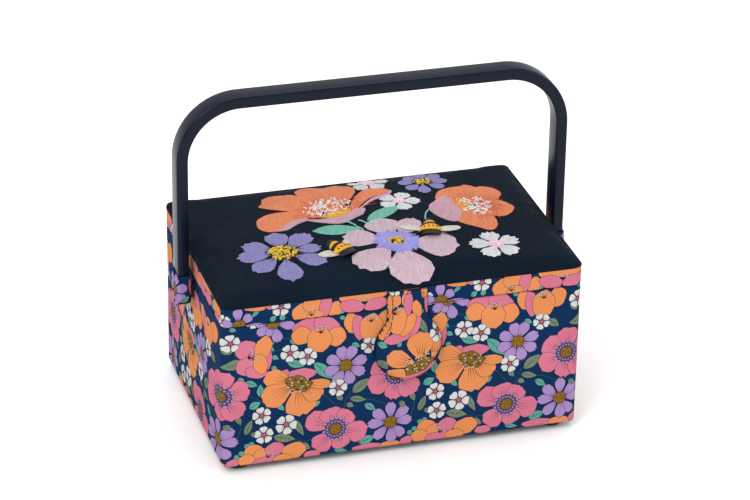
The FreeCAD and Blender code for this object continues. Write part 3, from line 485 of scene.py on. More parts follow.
def print_tile(drawing, dx, dz):
    """One repeat of the print, moved along the wall."""
    def p(x, z):
        return (x + dx, z + dz)

    for points in (((-110, 60), (-106, 58), (-101, 55)), ((-87, 103), (-82, 102), (-78, 99)),
                   ((-95, 93), (-90, 94), (-86, 94)), ((-38, 54), (-42, 47), (-43, 40)),
                   ((-28, 47), (-21, 45), (-13, 41)), ((-118, 43), (-117, 35), (-120, 27)),
                   ((-114, 31), (-110, 31), (-107, 29)), ((-79, 22), (-72, 19), (-66, 20)),
                   ((-57, 13), (-57, 10), (-56, 7)), ((-62, 57), (-56, 53), (-50, 46))):
        drawing.stroke("stem", [p(*point) for point in points], 0.7)
    drawing.leaves("sage", p, (
        ((-114, 88), (-130, 85), 8), ((-123, 96), (-130, 101), 6), ((-37, 53), (-25, 63), 8),
        ((-39, 49), (-27, 46), 5), ((-41, 45), (-36, 42), 4), ((-114, 30), (-109, 42), 5),
        ((-120, 46), (-117, 39), 4), ((-128, 40), (-124, 35), 4), ((-110, 31), (-104, 28), 4),
        ((-94, 26), (-78, 22), 7), ((-79, 38), (-72, 24), 5), ((-75, 17), (-67, 13), 6),
        ((-48, 53), (-44, 48), 4), ((-20, 90), (-12, 84), 6)))
    drawing.leaves("mint", p, (
        ((-99, 98), (-93, 94), 4), ((-97, 100), (-93, 100), 3), ((-95, 90), (-90, 87), 3.5),
        ((-95, 82), (-91, 78), 3.5), ((-84, 84), (-72, 79), 6), ((-65, 81), (-51, 66), 8),
        ((-82, 101), (-78, 97), 3), ((-38, 92), (-32, 89), 4), ((-114, 72), (-105, 68), 5),
        ((-119, 76), (-114, 72), 3.5), ((-103, 59), (-103, 69), 5), ((-111, 51), (-103, 55), 6),
        ((-28, 43), (-20, 37), 5), ((-32, 12), (-20, 16), 7), ((-115, 22), (-109, 20), 4),
        ((-111, 24), (-107, 21), 3), ((-119, 17), (-114, 15), 3.5), ((-122, 15), (-118, 12), 3.5),
        ((-50, 9), (-40, 7), 3.5), ((-47, 114), (-42, 112), 3), ((-125, 115), (-120, 113), 3.5),
        ((-91, 52), (-86, 46), 4), ((-97, 76), (-92, 72), 4), ((-16, 70), (-10, 75), 4),
        ((-66, 46), (-60, 50), 4)))
    poppies(drawing, p)
    cosmos(drawing, p(-42, 75.5), [(a, 15, 9.5) for a in (105, 68, 15, -30, -75, -120, -165, 150)])
    tips = ((-9, 41), (3, 36), (6, 26), (0, 14), (-8, 10), (-20, 14), (-25, 26), (-21, 36))
    cosmos(drawing, p(-9, 25.5), [(math.degrees(math.atan2(z - 25.5, x + 9)), math.hypot(x + 9, z - 25.5), 9)
                                  for x, z in tips])
    cosmos(drawing, p(-94, 115.5), [(215, 13, 8), (-75, 15, 9), (-15, 15, 8), (250, 10, 6), (35, 12, 8),
                                    (80, 13, 8), (130, 13, 8), (175, 13, 7)])
    anemone(drawing, p(-49, 26), [(150, 24, 17), (105, 18, 17), (50, 17, 15), (-15, 24, 17), (-70, 17, 14),
                                  (-135, 21, 16)])
    anemone(drawing, p(-131, 62), [(85, 20, 17), (150, 20, 17), (205, 22, 17), (265, 20, 14), (-50, 22, 17),
                                   (15, 21, 17)])
    for i, (x, z, radius) in enumerate((
            (-124, 103.5, 7), (-82, 90.5, 7), (-69.5, 86, 7), (-25, 89, 6.5), (-47.5, 58.5, 7), (-102, 44, 7),
            (-84.5, 34.5, 8), (-100.5, 28.5, 7), (-108, 118, 5))):
        daisy(drawing, p(x, z), radius, 20 + i * 31)


def poppies(drawing, p):
    """The poppies of one repeat: one wide open, and the others from the side."""
    drawing.blob("pink", p(-74, 73), 11, 4.5, 0)
    drawing.blob("pink", p(-89, 73), 7.5, 3.6, 32)
    for angle, length, width in ((160, 25, 15), (205, 27, 19), (-80, 26, 23), (-35, 22, 15), (-8, 25, 8)):
        drawing.petal("orange", p(-77, 66), angle, length, width, inner=1)
        for fan in (-14, -5, 5, 14):
            drawing.vein(p(-77, 66), angle + fan, 7, length * 0.72, 0.25)
    drawing.blob("gold", p(-76, 66), 10, 6, -22, 0.12)
    for i in range(26):
        reach, lean = 3 + 7.5 * ((i * 37) % 26) / 26, i * GOLDEN_ANGLE
        dot_x, dot_z = reach * math.cos(math.radians(lean)), 0.62 * reach * math.sin(math.radians(lean))
        drawing.dot("white" if i % 3 else "outline", p(-76 + dot_x, 65 + dot_z), 0.6, 0.2, 5)

    drawing.blobs(p, (
        ("pink", -98, 90, 3.2, 10, 0), ("pink", -113, 97, 8, 7.5, 20), ("pink", -113, 84, 7.5, 7, -20),
        ("pink", -106, 79, 8, 5, -10), ("orange", -101, 97, 6, 9.5, -18), ("orange", -103, 85, 5, 8, 12)))
    stamens(drawing, p(-112, 91), 12, 7)
    drawing.blobs(p, (
        ("pink", -69, 110, 12, 5.5, 6), ("pink", -56, 109, 10, 6, -22), ("orange", -74, 103, 7, 7, 20),
        ("orange", -49, 99, 7, 7.5, -14), ("orange", -61, 98, 9, 9.5, 0)))
    stamens(drawing, p(-60, 103), 90, 6)
    drawing.blobs(p, (
        ("orange", -38, 108, 5.5, 8, 12), ("pink", -33, 104, 4.5, 10, 8), ("orange", -14, 107, 6.5, 8, -16),
        ("orange", -24, 103, 8.5, 10.5, 0)))
    stamens(drawing, p(-24, 107), 90, 5.5)
    drawing.blobs(p, (
        ("orange", -108, 17, 6.5, 5, 0), ("orange", -101, 12, 7, 6, -12), ("orange", -113, 10, 6, 5, 0),
        ("pink", -93, 16, 7, 5.5, 15), ("pink", -98, 7, 11, 4, 0), ("orange", -79, 13, 9, 6.5, 12),
        ("orange", -87, 7, 7, 4.5, 0), ("pink", -66, 8, 6, 3.2, 0), ("pink", -25, 7.5, 12, 3.2, 0),
        ("orange", -9, 7, 8, 3.4, 0), ("pink", 3, 9, 5, 3.4, 20)))
    stamens(drawing, p(-98, 10), 70, 5, 7)


print(len(INKS), "inks ready")

# %% [markdown]
# ## From drawing to printed cloth
# A printed piece is made in three steps: the drawing and a grid of guide lines are triangulated in the
# flat, each triangle gets its ink, and a rule then carries every point of the flat cloth to its place in
# space. The guide lines give the mesh enough points to bend where the cloth goes round a corner. The
# normals come from the same rule, so long thin triangles leave no mark in the shading.


# %% Printed cloth
def printed_sheet(name, drawing, columns, rows, place, keep=None):
    """A mesh with the drawing on it, within an outline to keep, or else all of its guide grid."""
    flat, edges, loops, inks = [], [], [], []

    def add(points):
        start = len(flat)
        flat.extend((float(x), float(y)) for x, y in points)
        return list(range(start, len(flat)))

    low, high = np.array([columns[0], rows[0]]), np.array([columns[-1], rows[-1]])
    whole = [(low[0], low[1]), (high[0], low[1]), (high[0], high[1]), (low[0], high[1])]
    loops.append(add(whole if keep is None else keep))
    inks.append("navy")
    for ink, points in drawing.shapes:
        if (points.min(0) < high).all() and (points.max(0) > low).all():
            loops.append(add(points if area(points) > 0 else points[::-1]))
            inks.append(ink)
    for x in columns[1:-1]:
        edges.append(add([(x, low[1]), (x, high[1])]))
    for y in rows[1:-1]:
        edges.append(add([(low[0], y), (high[0], y)]))
    points, _, faces, _, _, owners = delaunay_2d_cdt([Vector(p) for p in flat], edges, loops, 0, 1e-4, True)
    chosen = [(face, inks[max(owner)]) for face, owner in zip(faces, owners) if 0 in owner]

    flat = np.array([tuple(p) for p in points])
    used = sorted({i for face, _ in chosen for i in face})
    renumber = {old: new for new, old in enumerate(used)}
    flat = flat[used]
    solid = place(flat)
    step = 0.05  # how far to each side the slope of the cloth is measured, in millimetres
    across = place(flat + [step, 0]) - place(flat - [step, 0])
    along = place(flat + [0, step]) - place(flat - [0, step])
    normal = np.cross(across, along)
    normal /= np.maximum(np.linalg.norm(normal, axis=1, keepdims=True), 1e-9)

    mesh = bpy.data.meshes.new(name)
    mesh.from_pydata(to_frame(solid).tolist(), [], [[renumber[i] for i in face] for face, _ in chosen])
    mesh.shade_smooth()
    corner_point = np.zeros(len(mesh.loops), np.int32)
    mesh.loops.foreach_get("vertex_index", corner_point)
    colour = mesh.color_attributes.new("ink", "BYTE_COLOR", "CORNER")
    paint = np.repeat(np.array([INKS[ink] for _, ink in chosen]), [len(face) for face, _ in chosen], 0)
    colour.data.foreach_set("color", paint.astype(np.float32).ravel())
    cloth_map = mesh.uv_layers.new(name="cloth")
    cloth_map.data.foreach_set("uv", (flat[corner_point] * MM).astype(np.float32).ravel())
    mesh.normals_split_custom_set(normal[corner_point].tolist())
    return mesh


def printed_piece(name, mesh, body, replaces=()):
    """One piece of the printed cotton."""
    mesh.materials.append(print_cotton)
    print(f"{name}: {len(mesh.polygons)} triangles")
    return settle(linked(name, mesh), body, replaces)


def printed_cotton_finish():
    """Ink from the mesh's own colours, over a fine weave."""
    made = Finish("print_cotton")
    place = made.cloth_place()
    height = made.weave(place, 0.00042)
    slubs = made.noise(place, 700.0, 4.0)
    made.bump(made.maths("ADD", height, slubs), 0.4, 0.00008)
    ink = made.add("VertexColor", {"layer_name": "ink"}).outputs["Color"]
    uneven = made.ranged(made.noise(place, 1500.0, 2.0), 0.25, 0.75, 0.56, 0.71)
    faded = made.ranged(made.noise(place, 22.0, 2.0), 0.3, 0.7, 0.95, 1.05)
    colour = made.shaded(ink, made.maths("MULTIPLY", uneven, faded))
    return made.surface(colour, made.ranged(slubs, 0.3, 0.7, 0.8, 0.92), Specular_IOR_Level=0.05)


print_cotton = printed_cotton_finish()

# %% [markdown]
# ## The cloth round the walls
# One long strip of cotton is glued round the four walls over thin wadding, turned under at the bottom
# and over the top edge of the boards. Its place rule walks round a rounded rectangle, and at the top and
# bottom it follows a small quarter circle, so the edges look like folded cloth and not like sheet metal.


# %% Wrapping a strip round the box
PIVOT_Z = 104.0
CORNER_COLUMNS = 7


def round_the_box(w, half_x, half_y, radius):
    """Point and outward direction at distance w along a rounded rectangle; w is x on the front."""
    flat_x, flat_y = half_x - radius, half_y - radius
    bend = radius * math.pi / 2
    lengths = [flat_x, bend, 2 * flat_y, bend, 2 * flat_x, bend, 2 * flat_y, bend, flat_x]
    whole = sum(lengths)
    w = np.mod(w, whole)
    x, y = np.zeros_like(w), np.zeros_like(w)
    nx, ny = np.zeros_like(w), np.zeros_like(w)
    start, corner = 0.0, 0
    middles = [(flat_x, -flat_y), (flat_x, flat_y), (-flat_x, flat_y), (-flat_x, -flat_y)]
    runs = [((0, -half_y), (1, 0)), ((half_x, -flat_y), (0, 1)), ((flat_x, half_y), (-1, 0)),
            ((-half_x, flat_y), (0, -1)), ((-flat_x, -half_y), (1, 0))]
    for i, length in enumerate(lengths):
        here = (w >= start) & (w <= start + length + 1e-9)
        gone = w[here] - start
        if i % 2 == 0:
            (px, py), (dx, dy) = runs[i // 2]
            x[here], y[here] = px + dx * gone, py + dy * gone
            nx[here], ny[here] = dy, -dx
        else:
            middle = middles[corner]
            angle = math.radians(-90 + 90 * corner) + gone / radius
            nx[here], ny[here] = np.cos(angle), np.sin(angle)
            x[here], y[here] = middle[0] + radius * nx[here], middle[1] + radius * ny[here]
            corner += 1
        start += length
    return x, y, nx, ny


def fold_profile(v, low, high, radius, turned):
    """Depth behind the wall's face and height, at distance v up a strip folded in at both ends."""
    bend = radius * math.pi / 2
    v = np.asarray(v, float)
    depth, z = np.zeros_like(v), v.copy()
    for end, way in ((low, -1.0), (high, 1.0)):
        past = (v - (end - way * radius)) * way
        bent = np.clip(past / radius, 0, math.pi / 2)
        over = past > 0
        depth[over] = (radius * (1 - np.cos(bent)) + np.maximum(past - bend, 0))[over]
        z[over] = (end - way * radius + way * radius * np.sin(bent))[over]
    return np.minimum(depth, turned), z


def strip_place(low, high, fold, turned, swell):
    """The place rule of a strip: round the box, folded in at both ends and a little uneven."""
    def place(flat):
        x, y, nx, ny = round_the_box(flat[:, 0], HALF_X, HALF_Y, CORNER)
        depth, z = fold_profile(flat[:, 1], low, high, fold, turned)
        soft = np.array([noise.noise(Vector((px / 34, py / 34, pz / 26))) for px, py, pz in zip(x, y, z)])
        middle = np.clip((z - low) * (high - z) / (0.25 * (high - low) ** 2), 0, 1)
        near_rivet = np.exp(-((y / 16) ** 2 + ((z - PIVOT_Z) / 14) ** 2))
        out = swell * soft * middle * (1 - near_rivet)
        return np.stack([x + nx * (out - depth), y + ny * (out - depth), z], 1)
    return place


def strip_columns(spacing):
    """Guide columns: close together round the corners, further apart along the walls."""
    flat_x, flat_y, bend = HALF_X - CORNER, HALF_Y - CORNER, CORNER * math.pi / 2
    stops = [-(flat_x + bend + 2 * flat_y + bend + flat_x)]
    turn = (bend, CORNER_COLUMNS)
    for length, pieces in ((flat_x, 0), turn, (2 * flat_y, 0), turn, (2 * flat_x, 0), turn, (2 * flat_y, 0),
                           turn, (flat_x, 0)):
        count = pieces or max(1, round(length / spacing))
        start = stops[-1]
        stops.extend(start + length * (i + 1) / count for i in range(count))
    return stops


def strip_rows(low, high, turned, between):
    """Guide rows: close together where the strip folds in at both ends."""
    rows = [low - turned] + [low + d for d in (-1.2, -0.6, 0, 0.5, 1, 1.5)] + list(between)
    return rows + [high - d for d in (1.5, 1, 0.5, 0, -0.6, -1.2)] + [high + turned]


REPEAT = 125.5
ROUND = 4 * (HALF_X + HALF_Y - 2 * CORNER) + 2 * math.pi * CORNER
columns = np.array(strip_columns(9.0))
columns += ROUND / 2 - columns[-1]
FOLD = 1.5
wall_drawing = Drawing()
for repeat in range(-3, 5):
    print_tile(wall_drawing, repeat * REPEAT, 1.5 * (repeat > 0))

# The strip joins out of true on the left wall: the print there sits lower and further back.
for i, (ink, points) in enumerate(wall_drawing.shapes):
    behind = np.clip((-HALF_X + 4 - points[:, 0]) / 22, 0, 1)
    wall_drawing.shapes[i] = (ink, points - np.stack([18 * behind, 9 * behind], 1))

WALL_TURN = 4.6
low, high = wall_low.z, wall_high.z + 0.12
rows = strip_rows(low, high, WALL_TURN, np.arange(low + 9, high - 6, 9.0))
wall_mesh = printed_sheet("wall_cloth", wall_drawing, columns, rows,
                          strip_place(low, high, FOLD, WALL_TURN, 0.35))
printed_piece("wall_cloth", wall_mesh, "box", ["outer_cover"])

# %% [markdown]
# ## The cloth round the lid's rim
# The lid has its own strip of the same cloth. It runs round the rim rails, turns under their lower edge
# and stops just below the top edge, where the dark top cover is sewn to it.


# %% Lid rim strip
def rim_tile(drawing, dx):
    """One repeat of the narrow strip's print."""
    def p(x, z):
        return (x + dx, z)

    cosmos(drawing, p(-118, 116.5), [(95, 13, 8), (40, 11, 8), (165, 12, 7), (-5, 17, 4), (-150, 8, 5),
                                     (-30, 9, 5)])
    drawing.leaves("mint", p, (
        ((-96, 117), (-92, 121), 4), ((-86, 117), (-89, 121), 4), ((-48, 117), (-42, 120), 4),
        ((-104, 127), (-109, 122), 3), ((-12, 124), (-6, 119), 5), ((-16, 131), (-8, 128), 4)))
    drawing.blobs(p, (
        ("orange", -107, 130, 9, 3.6, -8), ("pink", -95, 130.5, 5, 4, 20), ("orange", -73, 121, 8, 7, 25),
        ("orange", -64, 126, 9, 8, 0), ("orange", -50, 120, 5, 6.5, -10), ("pink", -57, 123.5, 4.2, 9, -12),
        ("orange", -64, 117.5, 6, 4, 0), ("orange", -30, 128.5, 18, 5, 0), ("pink", -38, 121, 9, 5, -14),
        ("pink", -21, 120.5, 8.5, 4.8, 12), ("orange", 2, 125, 10, 6, 10), ("pink", 4, 118, 7, 4, 0)))
    stamens(drawing, p(-67, 117.5), 80, 6, 7)
    stamens(drawing, p(-29, 121.5), 90, 5.5, 7)
    daisy(drawing, p(-88.5, 127), 7, 12)
    daisy(drawing, p(15, 120), 5.5, 40)


RIM_REPEAT = 144.0
rim_drawing = Drawing()
for repeat in range(-3, 4):
    rim_tile(rim_drawing, repeat * RIM_REPEAT)
RIM_TURN = 3.4
low, high = band_low.z - 0.1, band_high.z - 0.9
rows = strip_rows(low, high, RIM_TURN, [low + 6, low + 10])
rim_mesh = printed_sheet("rim_cloth", rim_drawing, columns, rows,
                         strip_place(low, high, FOLD, RIM_TURN, 0.15))
printed_piece("rim_cloth", rim_mesh, "lid", ["lid_rim_cover"])

# %% [markdown]
# ## Padded covers by cloth simulation
# A padded cover looks soft because its cloth is pushed out by the filling and held at its seams. The
# same is done here: a closed mesh is held at its seam, blown up with a little pressure by Blender's
# cloth solver, kept from moving further than the filling would push it, and then read back as points.


# %% Cloth simulation helper
SOLVER_STEPS = 20


def puff(name, points, faces, held, pressure, travel):
    """The points of a closed cover after its filling has pushed it out. held is 1 where it is sewn."""
    mesh = bpy.data.meshes.new(name + "_pattern")
    start = np.array(points, float)
    mesh.from_pydata((start * MM).tolist(), [], [tuple(int(i) for i in face) for face in faces])
    pattern = linked(name + "_pattern", mesh)
    seam = pattern.vertex_groups.new(name="seam")
    for i in np.flatnonzero(np.array(held) > 0):
        seam.add([int(i)], float(held[i]), "REPLACE")
    cloth = pattern.modifiers.new("cloth", "CLOTH").settings
    cloth.quality = 6
    cloth.mass = 0.25
    cloth.tension_stiffness = 12.0
    cloth.compression_stiffness = 12.0
    cloth.bending_stiffness = 0.6
    cloth.shrink_min = -0.01
    cloth.use_pressure = True
    cloth.uniform_pressure_force = pressure
    cloth.vertex_group_mass = "seam"
    cloth.effector_weights.gravity = 0.0
    for step in range(1, SOLVER_STEPS + 1):
        scene.frame_set(step)
    result = pattern.evaluated_get(bpy.context.evaluated_depsgraph_get()).to_mesh()
    moved = np.array([v.co for v in result.vertices], float) / MM
    bpy.data.objects.remove(pattern)
    scene.frame_set(1)
    shift = moved - start
    length = np.linalg.norm(shift, axis=1, keepdims=True)
    print(f"{name}: the filling pushes the cloth out by up to {length.max():.1f} mm")
    return start + shift * np.minimum(1, travel / np.maximum(length, 1e-6))


def grid_faces(across, along):
    """Quads of a grid whose points run across first."""
    return [(r * across + c, r * across + c + 1, (r + 1) * across + c + 1, (r + 1) * across + c)
            for r in range(along - 1) for c in range(across - 1)]


def closed_pad(grid_x, grid_y, top, under):
    """A pad from a grid of plan points with top and under heights, joined round its border."""
    rows_count, columns_count = grid_x.shape
    count = grid_x.size
    upper = np.stack([grid_x, grid_y, top], 2).reshape(-1, 3)
    lower = np.stack([grid_x, grid_y, under], 2).reshape(-1, 3)
    faces = grid_faces(columns_count, rows_count)
    faces += [tuple(i + count for i in face[::-1]) for face in faces]
    ring = list(range(columns_count))
    ring += [r * columns_count + columns_count - 1 for r in range(1, rows_count)]
    ring += [(rows_count - 1) * columns_count + c for c in range(columns_count - 2, -1, -1)]
    ring += [r * columns_count for r in range(rows_count - 2, 0, -1)]
    for here, after in zip(ring, ring[1:] + ring[:1]):
        faces.append((here, here + count, after + count, after))
    return np.concatenate([upper, lower]), faces, np.array(ring)


def applied(piece):
    """Turn a piece's modifiers into plain mesh."""
    final = evaluated_mesh(piece)
    piece.modifiers.clear()
    piece.data = final


def smoother(piece):
    """Subdivide once and keep the result as a plain mesh."""
    modifier = piece.modifiers.new("smooth", "SUBSURF")
    modifier.levels = modifier.render_levels = 1
    applied(piece)
    piece.data.shade_smooth()


def rounded_plan(xs, ys, corner):
    """A grid of plan points whose four corners are pulled in to a radius."""
    grid_x, grid_y = np.meshgrid(xs, ys)
    half_x, half_y = max(xs), max(ys)
    over_x = np.maximum(np.abs(grid_x) - (half_x - corner), 0)
    over_y = np.maximum(np.abs(grid_y) - (half_y - corner), 0)
    square = np.maximum(over_x, over_y)
    reach = np.hypot(over_x, over_y)
    pull = np.where(reach > 0, square / np.maximum(reach, 1e-9), 1.0)
    return (np.sign(grid_x) * (np.abs(grid_x) - over_x + over_x * pull),
            np.sign(grid_y) * (np.abs(grid_y) - over_y + over_y * pull))


# %% [markdown]
# ## The soft top of the lid
# Dark navy cotton is stretched over a block of foam and pulled down over the edge to the rim strip. It
# rolls steeply up from the seam, is fullest in the middle, and has shallow waves where the embroidery
# pulls it. A grid of points gives the rolled edge and the crown, and the cloth solver fills the form.
# The foam below follows the same plan, a little smaller.


# %% Lid top
def spread(half, edge_steps, spacing):
    """Coordinates from -half to half: close together near the ends, even in between."""
    inner = half - edge_steps[-1]
    middle = np.linspace(-inner, inner, max(2, round(2 * inner / spacing) + 1))
    ends = [half - step for step in edge_steps[:-1]]
    return np.array([-e for e in ends] + list(middle) + ends[::-1])


TOP_X, TOP_Y = HALF_X + 0.4, HALF_Y + 0.4
lid_face = band_high.z
EDGE_STEPS = (0.0, 0.25, 0.8, 1.8, 3.2, 5.2, 8.0)
across, along = spread(TOP_X, EDGE_STEPS, 4.6), spread(TOP_Y, EDGE_STEPS, 4.6)
plan_x, plan_y = rounded_plan(across, along, CORNER + 0.4)
inset = np.minimum(*np.meshgrid(TOP_X - np.abs(across), TOP_Y - np.abs(along)))
roll = np.interp(inset, [0, 0.25, 0.8, 1.8], [-2.2, -1.0, -0.2, 0])
bulge_x = np.clip(1 - (plan_x / TOP_X) ** 2, 0, 1)
bulge_y = np.clip(1 - (plan_y / TOP_Y) ** 2, 0, 1)
waves = 0.55 * np.cos((plan_x + 45) / 17) * np.clip((plan_y - 10) / 60, 0, 1) * np.sqrt(bulge_y)
crown = 0.55 + 1.5 * (bulge_x * bulge_y) ** 0.22 + 5.2 * (bulge_x * bulge_y) ** 0.62
cover_top = lid_face + crown + roll + waves * (bulge_x > 0.02)
top_points, top_faces, seam_ring = closed_pad(plan_x, plan_y, cover_top,
                                              np.minimum(cover_top - 0.12, lid_face + 0.05))
held = np.zeros(len(top_points))
held[len(top_points) // 2:] = 1
held[seam_ring] = 1
top_points = puff("lid_top", top_points, top_faces, held, 4.0, 2.2)
navy_cotton = woven_finish("navy_cotton", tint(5, 22, 36), tint(3, 14, 26), 0.0005,
                           Sheen_Weight=0.01, Specular_IOR_Level=0.07)
lid_top = new_piece("lid_top_cover", top_points, top_faces, navy_cotton, None)
smoother(lid_top)
settle(lid_top, "lid", ["lid_panel"])
print("lid top rises to", round(max(v.co.z for v in lid_top.data.vertices) / MM, 1), "mm")

# %% Foam under the cover
foam_crown = 0.4 + 4.4 * (bulge_x * bulge_y) ** 0.62
foam_points, foam_faces, _ = closed_pad(plan_x * 0.955, plan_y * 0.935, lid_face + foam_crown,
                                        np.full_like(plan_x, lid_face + 0.02))
foam_finish = Finish("foam_padding")
cells = foam_finish.add("TexVoronoi", Vector=foam_finish.object_place(), Scale=1400.0).outputs["Distance"]
foam_finish.bump(cells, 0.6, 0.0003)
# The foam is darker in the pits of its cells: painted shade in the pores.
foam_tint = foam_finish.mixed("MIX", foam_finish.ranged(cells, 0.1, 0.6),
                              tint(196, 190, 172), tint(226, 222, 208))
foam_white = foam_finish.surface(foam_tint, foam_finish.ranged(cells, 0.0, 1.0, 0.9, 0.98),
                                 Specular_IOR_Level=0.1)
foam = new_piece("foam_block", foam_points, foam_faces, foam_white, "lid", ["lid_foam"])
print(f"foam up to {foam_crown.max():.1f} mm thick")

# %% [markdown]
# ## Thread by Geometry Nodes
# Embroidery is thousands of short stitches, all alike but for their path and colour, which is what
# Geometry Nodes are for. A stitch starts as a short line of points that dips into the cloth at both ends.
# One node tree gives all of the lines a round section and a material. The colour is stored on the points
# and comes through to the finished threads.


# %% The thread node tree
def thread_tree():
    """Lines in, round coloured threads out."""
    tree = bpy.data.node_groups.new("thread", "GeometryNodeTree")
    for name, way, kind in (("Lines", "INPUT", "Geometry"), ("Thread radius", "INPUT", "Float"),
                            ("Sides", "INPUT", "Int"), ("Material", "INPUT", "Material"),
                            ("Threads", "OUTPUT", "Geometry")):
        tree.interface.new_socket(name=name, in_out=way, socket_type="NodeSocket" + kind)
    start, end = tree.nodes.new("NodeGroupInput"), tree.nodes.new("NodeGroupOutput")
    to_curve = tree.nodes.new("GeometryNodeMeshToCurve")
    section = tree.nodes.new("GeometryNodeCurvePrimitiveCircle")
    to_mesh = tree.nodes.new("GeometryNodeCurveToMesh")
    realize = tree.nodes.new("GeometryNodeRealizeInstances")
    paint = tree.nodes.new("GeometryNodeSetMaterial")
    for source, target in ((start.outputs["Lines"], to_curve.inputs[0]),
                           (start.outputs["Thread radius"], section.inputs["Radius"]),
                           (start.outputs["Sides"], section.inputs["Resolution"]),
                           (to_curve.outputs[0], to_mesh.inputs["Curve"]),
                           (section.outputs[0], to_mesh.inputs["Profile Curve"]),
                           (to_mesh.outputs[0], realize.inputs[0]),
                           (realize.outputs[0], paint.inputs["Geometry"]),
                           (start.outputs["Material"], paint.inputs["Material"]),
                           (paint.outputs[0], end.inputs[0])):
        tree.links.new(source, target)
    return tree


THREAD_TREE = thread_tree()


def thread_finish():
    """Twisted rayon: the colour of the point, fine strands, and a silky sheen."""
    made = Finish("embroidery_thread")
    place = made.object_place()
    strands = made.noise(place, 2600.0, 2.0)
    made.bump(strands, 0.5, 0.0001)
    dye = made.add("VertexColor", {"layer_name": "thread"}).outputs["Color"]
    shade = made.ranged(made.noise(place, 900.0, 3.0), 0.3, 0.7, 0.68, 0.9)
    return made.surface(made.shaded(dye, shade), made.ranged(strands, 0.3, 0.7, 0.45, 0.62),
                        Sheen_Weight=0.06, Specular_IOR_Level=0.2)


embroidery_thread = thread_finish()
print("thread tree:", len(THREAD_TREE.nodes), "nodes")


def sewn_threads(name, lines, colours, radius, sides=5):
    """Points, faces and colours of threads along lines of points in box millimetres."""
    points = np.concatenate(lines)
    edges, start = [], 0
    for line in lines:
        edges += [(start + i, start + i + 1) for i in range(len(line) - 1)]
        start += len(line)
    mesh = bpy.data.meshes.new(name + "_lines")
    mesh.from_pydata(to_frame(points).tolist(), edges, [])
    dye = mesh.attributes.new("thread", "FLOAT_COLOR", "POINT")
    shades = np.repeat(np.array(colours), [len(line) for line in lines], 0)
    dye.data.foreach_set("color", shades.astype(np.float32).ravel())
    rig = linked(name + "_lines", mesh)
    modifier = rig.modifiers.new("thread", "NODES")
    modifier.node_group = THREAD_TREE
    settings = {"Thread radius": radius * MM, "Sides": sides, "Material": embroidery_thread}
    for item in THREAD_TREE.interface.items_tree:
        if item.name in settings and item.in_out == "INPUT":
            modifier[item.identifier] = settings[item.name]
    final = evaluated_mesh(rig)
    bpy.data.objects.remove(rig)
    points = np.zeros(len(final.vertices) * 3)
    final.vertices.foreach_get("co", points)
    points = points.reshape(-1, 3)
    points[:, 1] -= MIDDLE_Y
    shades = np.zeros(len(final.vertices) * 4)
    final.attributes["thread"].data.foreach_get("color", shades)
    return points / MM, [tuple(face.vertices) for face in final.polygons], shades.reshape(-1, 4)


def coloured_piece(name, parts, body, replaces=()):
    """One piece out of several sets of points, faces and point colours."""
    points, faces, shades = [], [], []
    for some_points, some_faces, some_shades in parts:
        start = sum(len(p) for p in points)
        points.append(some_points)
        faces += [tuple(i + start for i in face) for face in some_faces]
        shades.append(some_shades)
    piece = new_piece(name, np.concatenate(points), faces, embroidery_thread, body, replaces)
    dye = piece.data.attributes.new("thread", "FLOAT_COLOR", "POINT")
    dye.data.foreach_set("color", np.concatenate(shades).astype(np.float32).ravel())
    print(f"{name}: {sum(len(face) - 2 for face in faces)} triangles")
    return piece


# %% [markdown]
# ## Filling a shape with stitches
# A machine fills a shape with parallel rows, and breaks each row into stitches that are staggered like
# bricks. Below the rows lies an underlay in a darker tone of the same colour, so the dark cloth doesn't
# show between them; the darker tone is painted shade between the rows.
# Both are dropped onto the puffed lid by casting a ray down at each point.


# %% Stitch filling
lid_ground = BVHTree.FromPolygons([v.co[:] for v in lid_top.data.vertices],
                                  [tuple(f.vertices) for f in lid_top.data.polygons])
stitch_random = random.Random(11)
UNDERLAY_SPACING = 4.0
LONGEST_STITCH = 6.5
THREAD_RADIUS = 0.42
LOFT = 0.4
LOOP_CUTS = 3


def on_lid(plan, lift):
    """Plan points in millimetres, dropped onto the lid's cover and raised by a lift."""
    plan = np.array(plan, float).reshape(-1, 2)
    heights = []
    for x, y, _ in to_frame(np.column_stack([plan, np.zeros(len(plan))])):
        hit = lid_ground.ray_cast(Vector((x, y, 1.0)), Vector((0, 0, -1)))[0]
        heights.append(hit.z / MM if hit else lid_face)
    return np.column_stack([plan, np.array(heights) + lift])


def stitch_rows(outline, angle, gap, longest=LONGEST_STITCH):
    """Stitches, each a start and an end, that fill an outline with staggered parallel rows."""
    turned = placed(np.array(outline, float), (0, 0), -angle)
    after = np.roll(turned, -1, 0)
    stitches = []
    for number, y in enumerate(np.arange(turned[:, 1].min() + gap / 2, turned[:, 1].max(), gap)):
        crossing = (turned[:, 1] <= y) != (after[:, 1] <= y)
        share = (y - turned[crossing, 1]) / (after[crossing, 1] - turned[crossing, 1])
        stops = np.sort(turned[crossing, 0] + share * (after[crossing, 0] - turned[crossing, 0]))
        for low, high in zip(stops[::2], stops[1::2]):
            shift = (number * 0.37 % 1.0) * longest
            marks = np.arange(math.floor((low - shift) / longest) * longest + shift, high, longest)
            marks = [low] + [m for m in marks if low + 1.2 < m < high - 1.2] + [high]
            stitches += [((a, y), (b, y)) for a, b in zip(marks, marks[1:])]
    return [placed(np.array(stitch), (0, 0), angle) for stitch in stitches]


